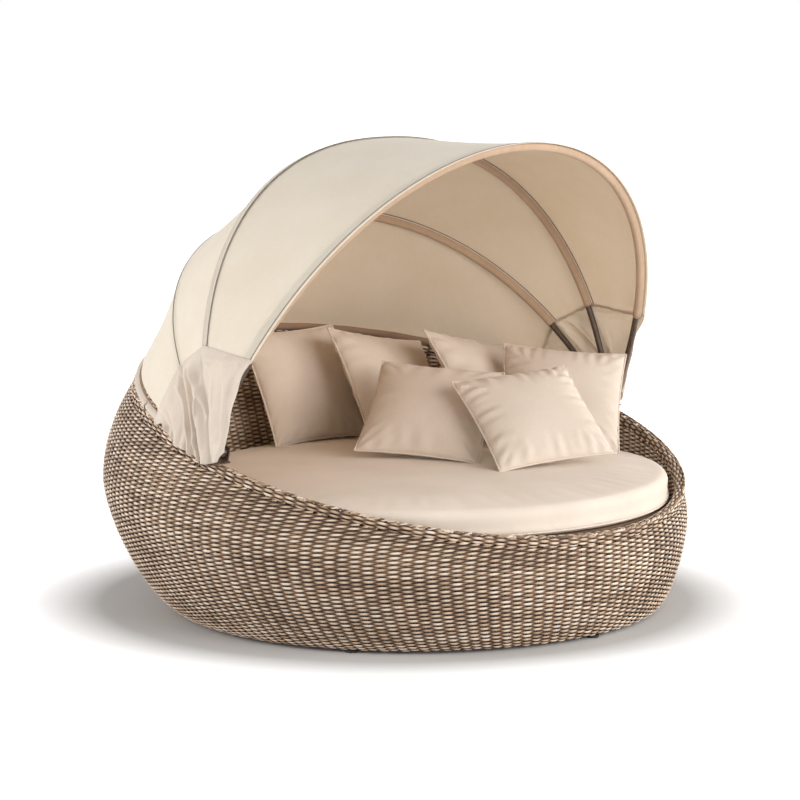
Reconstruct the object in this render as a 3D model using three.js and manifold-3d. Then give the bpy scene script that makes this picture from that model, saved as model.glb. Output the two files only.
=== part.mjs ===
// Round outdoor daybed: a woven bowl with a raised back rim, a round seat cushion,
// six loose scatter cushions and a fabric canopy on bows that folds back over the rim.
// Millimetres, +Z up, front towards -Y. The origin is on the floor under the middle
// of the widest ring of the bowl.

import * as THREE from 'three';
import { mergeVertices } from 'three/addons/utils/BufferGeometryUtils.js';
import Module from 'manifold-3d';

const wasm = await Module();
wasm.setup();

// Bowl: three oval rings carry its shape. The belly is the widest, and the foot and
// the rim are tucked in from it by different amounts at the sides, front and back.
const BELLY_HALF_WIDTH = 930;
const BELLY_HALF_DEPTH = 916;
const BELLY_HEIGHT = 340;
const BELLY_SLOPE_SHARE = 0.112;
const FOOT_SIDE_TUCK = 162;
const FOOT_FRONT_TUCK = 69;
const FOOT_BACK_TUCK = 285;
const FOOT_CURL_SHARE = 1.356;
const RIM_SIDE_TUCK = 66;
const RIM_FRONT_TUCK = 17;
const RIM_BACK_TUCK = 143;
const RIM_RISE = 206;
const RIM_SLOPE_SHARE = 0.272;

// Wicker walls, and the braid that closes them over the rim ring.
const WALL_THICKNESS = 4;
const WALL_SPREAD = 16;
const BRAID_RADIUS = 17;
const BRAID_WRAP_DEG = 214;
const INNER_WALL_DROP = 51;
const INNER_WALL_MARGIN = 2;

// Frame tubes.
const RING_RADIUS = 12.5;
const RIB_RADIUS = 8;
const RIB_CLEARANCE = 0.8;
const BELLY_RING_RADIUS = 8;
const TUBE_WALL = 1.8;
const RIB_COUNT = 8;
const SEAT_LEG_RADIUS = 10;
const SEAT_LEG_TURN_DEG = 36;
const DECK_BEAM_OFFSET = 260;

// Floor glides.
const GLIDE_COUNT = 6;
const GLIDE_RADIUS = 19;
const GLIDE_HEIGHT = 8;
const GLIDE_CHAMFER = 2;

// Seat: it fills the inner wall, which leans in at the sides and the back.
const SEAT_SIDE_INSET = 85;
const SEAT_BACK_INSET = 156;
const DECK_THICKNESS = 12;
const DECK_INSET = 8;
const SEAT_RING_INSET = 40;
const CUSHION_THICKNESS = 97;
const CUSHION_CROWN = 14;
const CUSHION_EDGE_RADIUS = 30;
const CUSHION_DRAW_IN = 7;

// Scatter cushions: square covers, full in the middle, drawn in between the corners.
const SCATTER_SIZE = 405;
const SCATTER_THICKNESS = 122;
const SCATTER_SEAM = 8;
const SCATTER_DRAW_IN_SHARE = 0.06;

// Canopy bows. Each bow's reach is from the hinge line to its crown, and its lean is
// measured up from the back. A fullness of 2 is half an ellipse, and more has fuller
// sides. The bows nest inside one another at the hinge.
const HINGE_OUTSET = 35;
const HINGE_FORWARD = 64;
const HINGE_RISE = 49.4;
const BOW_STEP = 26;
const BOW_RADIUS = 10;
const BOW_WALL = 1.7;
const FRONT_BOW_REACH = 968;
const FRONT_BOW_LEAN_DEG = 115.4;
const FRONT_BOW_FULLNESS_SHARE = 2.01;
const SECOND_BOW_REACH = 887;
const SECOND_BOW_LEAN_DEG = 77.5;
const SECOND_BOW_FULLNESS_SHARE = 2.27;
const THIRD_BOW_REACH = 835;
const THIRD_BOW_LEAN_DEG = 47.9;
const THIRD_BOW_FULLNESS_SHARE = 2.33;
const BOW_END = 14;

// Canopy cloth.
const CLOTH_THICKNESS = 3;
const CLOTH_STANDOFF = 2.2;
const FRONT_HEM = 24;
const REAR_HEM = 12;
const CLOTH_SAG = 9;
const SEAM_REACH = 300;
const FLAP_END = 34;
const FLAP_PLEAT = 7;
const FLAP_PLEATS = 2;
const SEAM_GAP = 0.5;
// Step along a bow over which its direction is taken.
const REACH_STEP = 1;
const STRAP_WIDTH = 26;
const STRAP_LENGTH = 17;
const STRAP_THICKNESS = 2;
const STRAP_TURN_DEG = 65;

// Hinge hardware.
const EAR_THICKNESS = 5;
const EAR_GAP = 3;
const EAR_HALF_WIDTH = 15;
const PLATE_THICKNESS = 4;
const PLATE_HALF_LENGTH = 24;
const BOLT_RADIUS = 5;
const BOLT_HEAD_RADIUS = 9;
const BOLT_HEAD_HEIGHT = 6;
const BOLT_TIP = 4;
const COLLAR_RADIUS = 8;
// The bows lean in a little past the bolt, so the collars stand further off them.
const COLLAR_GAP = 0.6;
const NUT_RADIUS = 9;
const NUT_HEIGHT = 8;
const SPIGOT_LENGTH = 20;

// Clearances and the overrun of every cut.
const GAP = 0.3;
const OVERRUN = 4;

// How finely each kind of surface is divided.
const ROUND_STEPS = 40;
const INNER_WALL_ROWS = 4;
const TUBE_SIDES = 8;
const FRAME_SIDES = 6;
const BOW_STEPS = 24;
const CLOTH_STEPS = 24;
const CLOTH_ROWS = 3;
const FLAP_ROWS = 4;
const CUSHION_GRID = 8;

const FULL_TURN = Math.PI * 2;
const QUARTER_TURN = Math.PI / 2;
const UP = new THREE.Vector3(0, 0, 1);

// Sizes and places that follow from the ones above.
const BASE_HALF_WIDTH = BELLY_HALF_WIDTH - FOOT_SIDE_TUCK;
const BASE_HALF_DEPTH = BELLY_HALF_DEPTH - (FOOT_FRONT_TUCK + FOOT_BACK_TUCK) / 2;
const BASE_CENTRE_Y = (FOOT_FRONT_TUCK - FOOT_BACK_TUCK) / 2;
const RIM_HALF_WIDTH = BELLY_HALF_WIDTH - RIM_SIDE_TUCK;
const RIM_HALF_DEPTH = BELLY_HALF_DEPTH - (RIM_FRONT_TUCK + RIM_BACK_TUCK) / 2;
const RIM_CENTRE_Y = (RIM_FRONT_TUCK - RIM_BACK_TUCK) / 2;
const RIM_HEIGHT = BELLY_HEIGHT + RIM_RISE;
const SEAT_HALF_WIDTH = RIM_HALF_WIDTH - SEAT_SIDE_INSET;
const SEAT_HALF_DEPTH = RIM_HALF_DEPTH - (WALL_SPREAD + SEAT_BACK_INSET) / 2;
const SEAT_CENTRE_Y = RIM_CENTRE_Y + (WALL_SPREAD - SEAT_BACK_INSET) / 2;
// The deck clears the top of the braid where the rim is lowest, at the front.
const DECK_TOP = RIM_HEIGHT - RIM_SLOPE_SHARE * RIM_HALF_DEPTH + BRAID_RADIUS + GAP;
const HINGE_HALF_SPAN = RIM_HALF_WIDTH + HINGE_OUTSET;
const HINGE_Y = RIM_CENTRE_Y - HINGE_FORWARD;
const HINGE_HEIGHT = RIM_HEIGHT - RIM_SLOPE_SHARE * HINGE_FORWARD + HINGE_RISE;
const RIM_SLOPE = Math.atan(RIM_SLOPE_SHARE);
const RIM_UP = new THREE.Vector3(0, -Math.sin(RIM_SLOPE), Math.cos(RIM_SLOPE));
const HINGE = new THREE.Vector3(0, HINGE_Y, HINGE_HEIGHT);
const BRAID_WRAP = radians(BRAID_WRAP_DEG - 180);
// How far below the rim ring both walls stop, just clear of the braid's lips.
const WALL_TOP = -BRAID_RADIUS * Math.sin(BRAID_WRAP) - 2 * GAP;
// The flaps lie against the flats of the bow tubes, just inside their full radius.
const FLAP_STANDOFF = BOW_RADIUS * (Math.cos(Math.PI / TUBE_SIDES) - 1);

const WICKER = { color: 0xa58f74, roughness: 0.75, metalness: 0 };
const ALUMINIUM = { color: 0x7d746a, roughness: 0.45, metalness: 0.9 };
const STEEL = { color: 0xb9bbbd, roughness: 0.3, metalness: 1 };
const SEAT_CLOTH = { color: 0xd8c6ac, roughness: 0.95, metalness: 0 };
const CANOPY_CLOTH = { color: 0xe3d9c8, roughness: 0.95, metalness: 0 };
const PLASTIC = { color: 0x24211f, roughness: 0.6, metalness: 0 };
const BOARD = { color: 0x6f5c49, roughness: 0.8, metalness: 0 };

const group = new THREE.Group();

function radians(degrees) {
  return THREE.MathUtils.degToRad(degrees);
}

function range(count) {
  return [...Array(count).keys()];
}

// Shares from 0 to 1 in equal steps, both ends included.
function shares(steps) {
  return range(steps + 1).map((step) => step / steps);
}

function add(name, geometry, finish, position = new THREE.Vector3()) {
  const mesh = new THREE.Mesh(geometry, new THREE.MeshStandardMaterial(finish));
  mesh.name = name;
  mesh.position.copy(position);
  group.add(mesh);
  return mesh;
}

// Volume enclosed by an indexed mesh, negative when its faces point inwards.
function signedVolume(points, faces) {
  return faces.reduce((sum, [a, b, c]) => {
    const product = new THREE.Vector3().crossVectors(points[b], points[c]);
    return sum + points[a].dot(product);
  }, 0);
}

function meshFrom(points, faces) {
  const outward = signedVolume(points, faces) > 0;
  const ordered = outward ? faces : faces.map(([a, b, c]) => [a, c, b]);
  const geometry = new THREE.BufferGeometry().setFromPoints(points);
  geometry.setIndex(ordered.flat());
  return geometry;
}

// A solid through closed sections of equal count. A closed loft runs round to its
// first section again; an open one has its two ends filled.
function loft(sections, closed) {
  const count = sections[0].length;
  const points = sections.flat();
  const faces = [];
  const spans = closed ? sections.length : sections.length - 1;
  range(spans).forEach((span) => {
    const near = span * count;
    const far = ((span + 1) % sections.length) * count;
    range(count).forEach((side) => {
      const next = (side + 1) % count;
      faces.push([near + side, near + next, far + side]);
      faces.push([near + next, far + next, far + side]);
    });
  });
  if (!closed) {
    const last = (sections.length - 1) * count;
    range(count / 2 - 1).forEach((side) => {
      const [a, b] = [side, side + 1];
      const [c, d] = [count - 1 - side, count - 2 - side];
      faces.push([a, c, b], [b, c, d]);
      faces.push([last + a, last + b, last + c], [last + b, last + d, last + c]);
    });
  }
  return meshFrom(points, faces);
}

// A closed section whose front is one line of points and whose back is another.
function strip(front, back) {
  return [...front, ...[...back].reverse()];
}

function toManifold(geometry) {
  const bare = geometry.clone();
  bare.deleteAttribute('normal');
  bare.deleteAttribute('uv');
  const merged = mergeVertices(bare, GAP / 100);
  return new wasm.Manifold(new wasm.Mesh({
    numProp: 3,
    vertProperties: merged.attributes.position.array,
    triVerts: new Uint32Array(merged.index.array),
  }));
}

function fromManifold(solid) {
  const mesh = solid.getMesh();
  const geometry = new THREE.BufferGeometry();
  geometry.setAttribute('position', new THREE.BufferAttribute(mesh.vertProperties, 3));
  geometry.setIndex([...mesh.triVerts]);
  return geometry;
}

function cut(geometry, ...tools) {
  const whole = toManifold(geometry);
  return fromManifold(tools.reduce((left, tool) => left.subtract(toManifold(tool)), whole));
}

function join(...geometries) {
  return fromManifold(geometries.map(toManifold).reduce((sum, next) => sum.add(next)));
}

function roundShape(radius, bore = 0) {
  const shape = new THREE.Shape().absarc(0, 0, radius, 0, FULL_TURN);
  if (bore > 0) {
    shape.holes.push(new THREE.Path().absarc(0, 0, bore, 0, FULL_TURN, true));
  }
  return shape;
}

// A path through points in equal steps of its parameter, so that a tube along it has
// one ring at each point.
class PointPath extends THREE.Curve {
  constructor(points) {
    super();
    this.points = points;
  }

  getPoint(share, target = new THREE.Vector3()) {
    const last = this.points.length - 1;
    const place = Math.min(Math.max(share * last, 0), last);
    const before = Math.min(Math.floor(place), last - 1);
    return target.lerpVectors(this.points[before], this.points[before + 1], place - before);
  }

  getUtoTmapping(share) {
    return share;
  }
}

// A round tube along points, hollow when it has a bore.
function tube(points, radius, bore = 0, sides = TUBE_SIDES) {
  const settings = { extrudePath: new PointPath(points), steps: points.length - 1, curveSegments: sides / 2 };
  return new THREE.ExtrudeGeometry(roundShape(radius, bore), settings);
}

// A cutter for a round hole along X: its flat sides stand at the hole's radius.
function holeAlongX(radius, from, to) {
  const reach = radius / Math.cos(Math.PI / TUBE_SIDES);
  const bar = new THREE.CylinderGeometry(reach, reach, Math.abs(to - from), TUBE_SIDES);
  return bar.rotateZ(QUARTER_TURN).translate((from + to) / 2, 0, 0);
}

// The oval rings. The angle runs round from the +X side by way of the back.
function basePoint(angle) {
  const x = BASE_HALF_WIDTH * Math.cos(angle);
  const y = BASE_CENTRE_Y + BASE_HALF_DEPTH * Math.sin(angle);
  return new THREE.Vector3(x, y, GLIDE_HEIGHT);
}

function bellyPoint(angle) {
  const y = BELLY_HALF_DEPTH * Math.sin(angle);
  return new THREE.Vector3(BELLY_HALF_WIDTH * Math.cos(angle), y, BELLY_HEIGHT + BELLY_SLOPE_SHARE * y);
}

// The rim's ring, grown outwards by spread and lifted square to its sloping plane.
function rimPoint(angle, spread = 0, lift = 0) {
  const reach = (RIM_HALF_DEPTH + spread) * Math.sin(angle);
  const x = (RIM_HALF_WIDTH + spread) * Math.cos(angle);
  const point = new THREE.Vector3(x, RIM_CENTRE_Y + reach, RIM_HEIGHT + RIM_SLOPE_SHARE * reach);
  return point.addScaledVector(RIM_UP, lift);
}

// The bowl's outer face. Rise runs from 0 at the foot to 1 at the belly and 2 under
// the rim: a full curl out of the floor, then a curve that leans in to the rim.
function outerFace(angle, rise) {
  const belly = bellyPoint(angle);
  if (rise < 1) {
    const base = basePoint(angle);
    const turn = rise * QUARTER_TURN;
    const out = Math.sin(turn) ** FOOT_CURL_SHARE;
    const up = 1 - Math.cos(turn) ** FOOT_CURL_SHARE;
    const point = base.clone().lerp(belly, out);
    point.z = base.z + (belly.z - base.z) * up;
    return point;
  }
  const top = rimPoint(angle, WALL_SPREAD, WALL_TOP);
  const up = rise - 1;
  const point = top.clone().lerp(belly, 1 - up ** 2);
  point.z = belly.z + (top.z - belly.z) * up;
  return point;
}

// The inner wall's face towards the seat. Drop runs from 0 under the rim to 1 below
// the deck's edge.
function innerFace(angle, drop) {
  const top = rimPoint(angle, -WALL_SPREAD, WALL_TOP - WALL_THICKNESS * RIM_SLOPE_SHARE);
  const x = (SEAT_HALF_WIDTH + INNER_WALL_MARGIN) * Math.cos(angle);
  const y = SEAT_CENTRE_Y + (SEAT_HALF_DEPTH + INNER_WALL_MARGIN) * Math.sin(angle);
  return top.lerp(new THREE.Vector3(x, y, DECK_TOP - INNER_WALL_DROP), drop);
}

// A point moved off a face along its normal; positive depth goes towards the axis.
function offFace(face, angle, rise, depth) {
  const delta = 0.004;
  const low = Math.max(rise - delta, 0);
  const high = Math.min(rise + delta, face === outerFace ? 2 : 1);
  const along = face(angle, high).sub(face(angle, low));
  const around = face(angle + delta, rise).sub(face(angle - delta, rise));
  const inward = new THREE.Vector3().crossVectors(along, around).normalize();
  const point = face(angle, rise);
  const outward = new THREE.Vector3(point.x, point.y - SEAT_CENTRE_Y, 0);
  if (inward.dot(outward) > 0) inward.negate();
  return point.addScaledVector(inward, depth);
}

function around(steps = ROUND_STEPS) {
  return range(steps).map((step) => (FULL_TURN * step) / steps);
}

// The rows of the outer wall, as shares of the way up; they are closest at the foot.
const wallRowShares = [0, 0.06, 0.12, 0.2, 0.3, 0.4, 0.5, 0.62, 0.75, 0.9, 1];
const RIB_FIRST_ROW = 2;
const RIB_LAST_ROW = 8;

function outerWall() {
  const rises = wallRowShares.map((share) => share * 2);
  const sections = around().map((angle) => strip(
    rises.map((rise) => outerFace(angle, rise)),
    rises.map((rise) => offFace(outerFace, angle, rise, WALL_THICKNESS)),
  ));
  return loft(sections, true);
}

function innerWall() {
  const drops = shares(INNER_WALL_ROWS);
  const sections = around().map((angle) => strip(
    drops.map((drop) => innerFace(angle, drop)),
    drops.map((drop) => offFace(innerFace, angle, drop, -WALL_THICKNESS)),
  ));
  return loft(sections, true);
}

// The braid wraps over the rim ring and leaves its underside open to the walls.
function rimBraid() {
  const turns = shares(6).map((share) => -BRAID_WRAP + share * (Math.PI + 2 * BRAID_WRAP));
  const arc = (angle, radius) => turns.map((turn) => (
    rimPoint(angle, radius * Math.cos(turn), radius * Math.sin(turn))
  ));
  const bore = (RING_RADIUS + GAP) / Math.cos((turns[1] - turns[0]) / 2);
  return loft(around().map((angle) => strip(arc(angle, BRAID_RADIUS), arc(angle, bore))), true);
}

// A closed round bar whose centre follows a ring of points, its first side outwards
// and square to the ring's own upward direction.
function ringBar(centres, radius, sides = FRAME_SIDES, up = UP) {
  const last = centres.length - 1;
  const sections = centres.map((centre, index) => {
    const before = centres[index === 0 ? last : index - 1];
    const after = centres[index === last ? 0 : index + 1];
    const along = after.clone().sub(before).normalize();
    const out = new THREE.Vector3().crossVectors(along, up).normalize();
    const over = new THREE.Vector3().crossVectors(out, along);
    return range(sides).map((side) => {
      const turn = (FULL_TURN * side) / sides;
      const point = centre.clone().addScaledVector(out, radius * Math.cos(turn));
      return point.addScaledVector(over, radius * Math.sin(turn));
    });
  });
  return loft(sections, true);
}

function baseRingPoint(angle) {
  const inset = RING_RADIUS - GAP;
  const x = (BASE_HALF_WIDTH - inset) * Math.cos(angle);
  const y = BASE_CENTRE_Y + (BASE_HALF_DEPTH - inset) * Math.sin(angle);
  return new THREE.Vector3(x, y, GLIDE_HEIGHT + GAP + RING_RADIUS);
}

function seatRingPoint(angle) {
  const x = (SEAT_HALF_WIDTH - SEAT_RING_INSET) * Math.cos(angle);
  const y = SEAT_CENTRE_Y + (SEAT_HALF_DEPTH - SEAT_RING_INSET) * Math.sin(angle);
  return new THREE.Vector3(x, y, DECK_TOP - DECK_THICKNESS - GAP - RING_RADIUS);
}

function ribPoint(angle, rise) {
  return offFace(outerFace, angle, rise, WALL_THICKNESS + RIB_CLEARANCE + RIB_RADIUS);
}

function bellyRingPoint(angle) {
  const depth = WALL_THICKNESS + 2 * RIB_RADIUS + BELLY_RING_RADIUS + RIB_CLEARANCE + GAP;
  return offFace(outerFace, angle, 1, depth);
}

function addFrame() {
  const base = around().map(baseRingPoint);
  const rim = around().map((angle) => rimPoint(angle));
  const seat = around().map(seatRingPoint);
  add('base_ring', ringBar(base, RING_RADIUS), ALUMINIUM);
  add('belly_ring', ringBar(around().map(bellyRingPoint), BELLY_RING_RADIUS), ALUMINIUM);
  add('rim_ring', ringBar(rim, RING_RADIUS, TUBE_SIDES, RIM_UP), ALUMINIUM);
  add('seat_ring', ringBar(seat, RING_RADIUS), ALUMINIUM);

  const baseCope = ringBar(base, RING_RADIUS + GAP);
  const rimCope = ringBar(rim, RING_RADIUS + GAP, TUBE_SIDES, RIM_UP);
  const seatCope = ringBar(seat, RING_RADIUS + GAP);
  const ribShares = wallRowShares.slice(RIB_FIRST_ROW, RIB_LAST_ROW + 1);
  range(RIB_COUNT).forEach((index) => {
    const angle = (FULL_TURN * index) / RIB_COUNT;
    const along = ribShares.map((share) => ribPoint(angle, share * 2));
    const neck = rimPoint(angle).addScaledVector(UP, -BRAID_RADIUS - RING_RADIUS);
    const rib = tube([baseRingPoint(angle), ...along, neck, rimPoint(angle)], RIB_RADIUS, 0, FRAME_SIDES);
    add(`rib_${index + 1}`, cut(rib, baseCope, rimCope), ALUMINIUM);
  });

  const legBore = SEAT_LEG_RADIUS - TUBE_WALL;
  const legTurns = [SEAT_LEG_TURN_DEG, 180 - SEAT_LEG_TURN_DEG, 180 + SEAT_LEG_TURN_DEG, -SEAT_LEG_TURN_DEG];
  legTurns.forEach((degrees, index) => {
    const angle = radians(degrees);
    const leg = tube([baseRingPoint(angle), seatRingPoint(angle)], SEAT_LEG_RADIUS, legBore, FRAME_SIDES);
    add(`seat_leg_${index + 1}`, cut(leg, baseCope, seatCope), ALUMINIUM);
  });

  const bore = RING_RADIUS - TUBE_WALL;
  [['deck_beam_front', -DECK_BEAM_OFFSET], ['deck_beam_rear', DECK_BEAM_OFFSET]].forEach(([name, offset]) => {
    const angle = Math.asin(offset / (SEAT_HALF_DEPTH - SEAT_RING_INSET));
    const beam = tube([seatRingPoint(Math.PI - angle), seatRingPoint(angle)], RING_RADIUS, bore, FRAME_SIDES);
    add(name, cut(beam, seatCope), ALUMINIUM);
  });
}

function addGlides() {
  const profile = [
    new THREE.Vector2(0, 0),
    new THREE.Vector2(GLIDE_RADIUS - GLIDE_CHAMFER, 0),
    new THREE.Vector2(GLIDE_RADIUS, GLIDE_CHAMFER),
    new THREE.Vector2(GLIDE_RADIUS, GLIDE_HEIGHT),
    new THREE.Vector2(0, GLIDE_HEIGHT),
  ];
  range(GLIDE_COUNT).forEach((index) => {
    const angle = (FULL_TURN * (index + 0.5)) / GLIDE_COUNT;
    const glide = new THREE.LatheGeometry(profile, TUBE_SIDES * 1.5).rotateX(QUARTER_TURN);
    const place = baseRingPoint(angle).setZ(0);
    add(`floor_glide_${index + 1}`, glide, PLASTIC, place);
  });
}

function addWicker() {
  add('wicker_outer_wall', outerWall(), WICKER);
  add('wicker_inner_wall', innerWall(), WICKER);
  add('wicker_rim_braid', rimBraid(), WICKER);
}

// Height of the seat cushion's top over its own base, at a share of its radius.
function seatCrown(share) {
  return CUSHION_THICKNESS + CUSHION_CROWN * (1 - share ** 2);
}

function addSeat() {
  const [deckWidth, deckDepth] = [SEAT_HALF_WIDTH - DECK_INSET, SEAT_HALF_DEPTH - DECK_INSET];
  const outline = new THREE.Shape().absellipse(0, SEAT_CENTRE_Y, deckWidth, deckDepth, 0, FULL_TURN);
  const deckSettings = { depth: DECK_THICKNESS, bevelEnabled: false, curveSegments: ROUND_STEPS / 2 };
  const deck = new THREE.ExtrudeGeometry(outline, deckSettings);
  add('seat_deck', deck, BOARD, new THREE.Vector3(0, 0, DECK_TOP - DECK_THICKNESS));

  const flat = SEAT_HALF_WIDTH - CUSHION_EDGE_RADIUS;
  const round = (height, direction) => shares(2).map((share) => {
    const turn = direction > 0 ? share * QUARTER_TURN : QUARTER_TURN * (1 - share);
    const out = flat + CUSHION_EDGE_RADIUS * Math.sin(turn);
    return new THREE.Vector2(out, height + direction * CUSHION_EDGE_RADIUS * Math.cos(turn));
  });
  const crownShares = [0, 0.4, 0.75];
  const profile = [
    ...crownShares.map((share) => new THREE.Vector2(flat * share, seatCrown(share))),
    ...round(CUSHION_THICKNESS - CUSHION_EDGE_RADIUS, 1),
    new THREE.Vector2(SEAT_HALF_WIDTH - CUSHION_DRAW_IN, CUSHION_THICKNESS / 2),
    ...round(CUSHION_EDGE_RADIUS, -1),
    new THREE.Vector2(0, 0),
  ];
  const cushion = new THREE.LatheGeometry(profile.reverse(), ROUND_STEPS).rotateX(QUARTER_TURN);
  cushion.scale(1, SEAT_HALF_DEPTH / SEAT_HALF_WIDTH, 1);
  const place = new THREE.Vector3(0, SEAT_CENTRE_Y, DECK_TOP + GAP);
  const seat = add('seat_cushion', cushion, SEAT_CLOTH, place);
  seat.updateMatrixWorld();
  return seat;
}

// Height of the seat's top face over the floor at a place, or below it off the seat.
function seatTop(seat, x, y) {
  const above = new THREE.Vector3(x, y, DECK_TOP + 2 * CUSHION_THICKNESS);
  const [hit] = new THREE.Raycaster(above, UP.clone().negate()).intersectObject(seat);
  return hit ? hit.point.z : -DECK_TOP;
}

// A square cushion standing in the XZ plane: both faces swell from the seam to the
// middle, and the seam is drawn in between the corners.
function scatterGeometry(size) {
  const half = size / 2;
  const stops = shares(CUSHION_GRID).map((share) => Math.sin((share - 0.5) * Math.PI));
  const face = (sign) => (a, b) => {
    const draw = SCATTER_DRAW_IN_SHARE * half;
    const x = half * a - Math.sign(a) * draw * a ** 2 * (1 - b ** 2);
    const z = half * b - Math.sign(b) * draw * b ** 2 * (1 - a ** 2);
    const swell = Math.sqrt((1 - a ** 2) * (1 - b ** 2)) ** 0.9;
    const y = (SCATTER_SEAM + (SCATTER_THICKNESS - SCATTER_SEAM) * swell) / 2;
    return new THREE.Vector3(x, sign * y, z);
  };
  const sections = stops.map((b) => strip(
    stops.map((a) => face(1)(a, b)),
    stops.map((a) => face(-1)(a, b)),
  ));
  return loft(sections, false);
}

// Where the scatter cushions lie, as shares of the seat's half width and half depth
// from its centre, with the way each one faces, leans back and is turned in degrees.
const scatterShares = [
  { x: 0.171, y: 0.926, facing: 267, lean: 28, turn: 0 },
  { x: 0.413, y: 0.623, facing: 274, lean: 41, turn: 14 },
  { x: 0.710, y: 0.338, facing: 284, lean: 43, turn: 17 },
  { x: 0.172, y: 0.153, facing: 217, lean: 52, turn: 6.5 },
  { x: 0.350, y: -0.272, facing: 242, lean: 53, turn: -8 },
  { x: 0.779, y: -0.026, facing: 226, lean: 44.5, turn: 6.5 },
];

function addScatterCushions(seat) {
  scatterShares.forEach(({ x, y, facing, lean, turn }, index) => {
    const geometry = scatterGeometry(SCATTER_SIZE);
    geometry.rotateY(radians(turn));
    geometry.rotateX(radians(-lean));
    geometry.rotateZ(radians(facing + 90));
    const place = new THREE.Vector3(x * SEAT_HALF_WIDTH, SEAT_CENTRE_Y + y * SEAT_HALF_DEPTH, 0);
    const corner = new THREE.Vector3();
    const heights = geometry.attributes.position;
    const rests = range(heights.count).map((point) => {
      corner.fromBufferAttribute(heights, point);
      return seatTop(seat, corner.x + place.x, corner.y + place.y) - corner.z;
    });
    place.z = Math.max(...rests) + GAP;
    add(`scatter_cushion_${index + 1}`, geometry, SEAT_CLOTH, place);
  });
}

// The bows, front to back. The rear one lies on the rim braid instead of turning.
const bows = [
  ['front_bow', FRONT_BOW_REACH, FRONT_BOW_LEAN_DEG, FRONT_BOW_FULLNESS_SHARE],
  ['second_bow', SECOND_BOW_REACH, SECOND_BOW_LEAN_DEG, SECOND_BOW_FULLNESS_SHARE],
  ['third_bow', THIRD_BOW_REACH, THIRD_BOW_LEAN_DEG, THIRD_BOW_FULLNESS_SHARE],
].map(([name, reach, lean, fullness], place) => ({
  name, reach, lean, fullness, span: HINGE_HALF_SPAN - place * BOW_STEP,
}));
const REAR_BOW_LIFT = BRAID_RADIUS + GAP + BOW_RADIUS;
// Distance of the hinge line from the plane of the rim ring, square to that plane.
const HINGE_OVER_RIM = HINGE_RISE * Math.cos(RIM_SLOPE);

// A point of a bow in its own plane, from its reach off the hinge line: full-sided
// like a flattened arch. Side is 1 for +X and -1 for -X.
function bowPoint(bow, share, side) {
  const x = bow.span * (1 - share ** bow.fullness) ** (1 / bow.fullness);
  const out = bow.reach * share;
  const lean = radians(bow.lean);
  return new THREE.Vector3(side * x, HINGE_Y + out * Math.cos(lean), HINGE_HEIGHT + out * Math.sin(lean));
}

// The same arch by its angle, from 0 at the +X hinge over the crown to 180 degrees.
function archPoint(bow, turn) {
  const share = Math.abs(Math.sin(turn)) ** (2 / bow.fullness);
  return bowPoint(bow, Math.min(share, 1), Math.cos(turn) < 0 ? -1 : 1);
}

// Angle round the rim where it is a given way behind the hinge line, up its slope.
function rearTurn(reach) {
  const y = HINGE_Y + reach * Math.cos(RIM_SLOPE) + HINGE_OVER_RIM * Math.sin(RIM_SLOPE);
  return Math.asin((y - RIM_CENTRE_Y) / RIM_HALF_DEPTH);
}

// Centre of bow number index where it is a given reach from the hinge line.
function bowAtReach(index, reach, side) {
  if (index < bows.length) return bowPoint(bows[index], reach / bows[index].reach, side);
  const point = rimPoint(rearTurn(reach), 0, REAR_BOW_LIFT);
  point.x *= side;
  return point;
}

// Centre of bow number index, along its stretch above the flaps from +X to -X.
function bowAlong(index, along) {
  const rear = index === bows.length;
  const start = rear
    ? rearTurn(SEAM_REACH)
    : Math.asin((SEAM_REACH / bows[index].reach) ** (bows[index].fullness / 2));
  const turn = start + along * (Math.PI - 2 * start);
  return rear ? rimPoint(turn, 0, REAR_BOW_LIFT) : archPoint(bows[index], turn);
}

function addBows() {
  const bore = BOW_RADIUS - BOW_WALL;
  const pin = holeAlongX(BOLT_RADIUS + GAP, -HINGE_HALF_SPAN - BOW_STEP, HINGE_HALF_SPAN + BOW_STEP);
  pin.translate(0, HINGE_Y, HINGE_HEIGHT);
  bows.forEach((bow) => {
    const lean = radians(bow.lean);
    const tail = new THREE.Vector3(0, -Math.cos(lean), -Math.sin(lean)).multiplyScalar(BOW_END);
    const arch = shares(BOW_STEPS).map((share) => archPoint(bow, share * Math.PI));
    const ends = [arch[0].clone().add(tail), arch[BOW_STEPS].clone().add(tail)];
    const bar = tube([ends[0], ...arch, ends[1]], BOW_RADIUS, bore);
    add(bow.name, cut(bar, pin), ALUMINIUM);
  });
  const start = rearTurn(PLATE_HALF_LENGTH + OVERRUN / 2);
  const turns = shares(BOW_STEPS).map((share) => start + share * (Math.PI - 2 * start));
  const rear = turns.map((turn) => rimPoint(turn, 0, REAR_BOW_LIFT));
  add('rear_bow', tube(rear, BOW_RADIUS, bore), ALUMINIUM);
}

// Outward normal of the straight cloth between two bows, at one of them.
function clothNormal(at, next, along) {
  const chord = next.clone().sub(at);
  const normal = new THREE.Vector3().crossVectors(chord, along).normalize();
  const outward = at.clone().lerp(next, 0.5).sub(HINGE).add(new THREE.Vector3(at.x, 0, 0));
  return normal.dot(outward) < 0 ? normal.negate() : normal;
}

// How far the cloth's inner face is moved off bow number index, and which way: it
// splits the angle between the cloth in front of the bow and the cloth behind it.
function bowOffset(index, pointOf, param, delta, standoff) {
  const at = pointOf(index, param);
  const tangent = pointOf(index, param + delta).sub(pointOf(index, param - delta));
  const neighbours = [index - 1, index + 1].filter((other) => other >= 0 && other <= bows.length);
  const normals = neighbours.map((other) => clothNormal(at, pointOf(other, param), tangent));
  const middle = normals.reduce((sum, normal) => sum.add(normal), new THREE.Vector3()).normalize();
  const spread = middle.dot(clothNormal(at, pointOf(neighbours[0], param), tangent));
  return { middle, size: (BOW_RADIUS + standoff) / spread };
}

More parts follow.
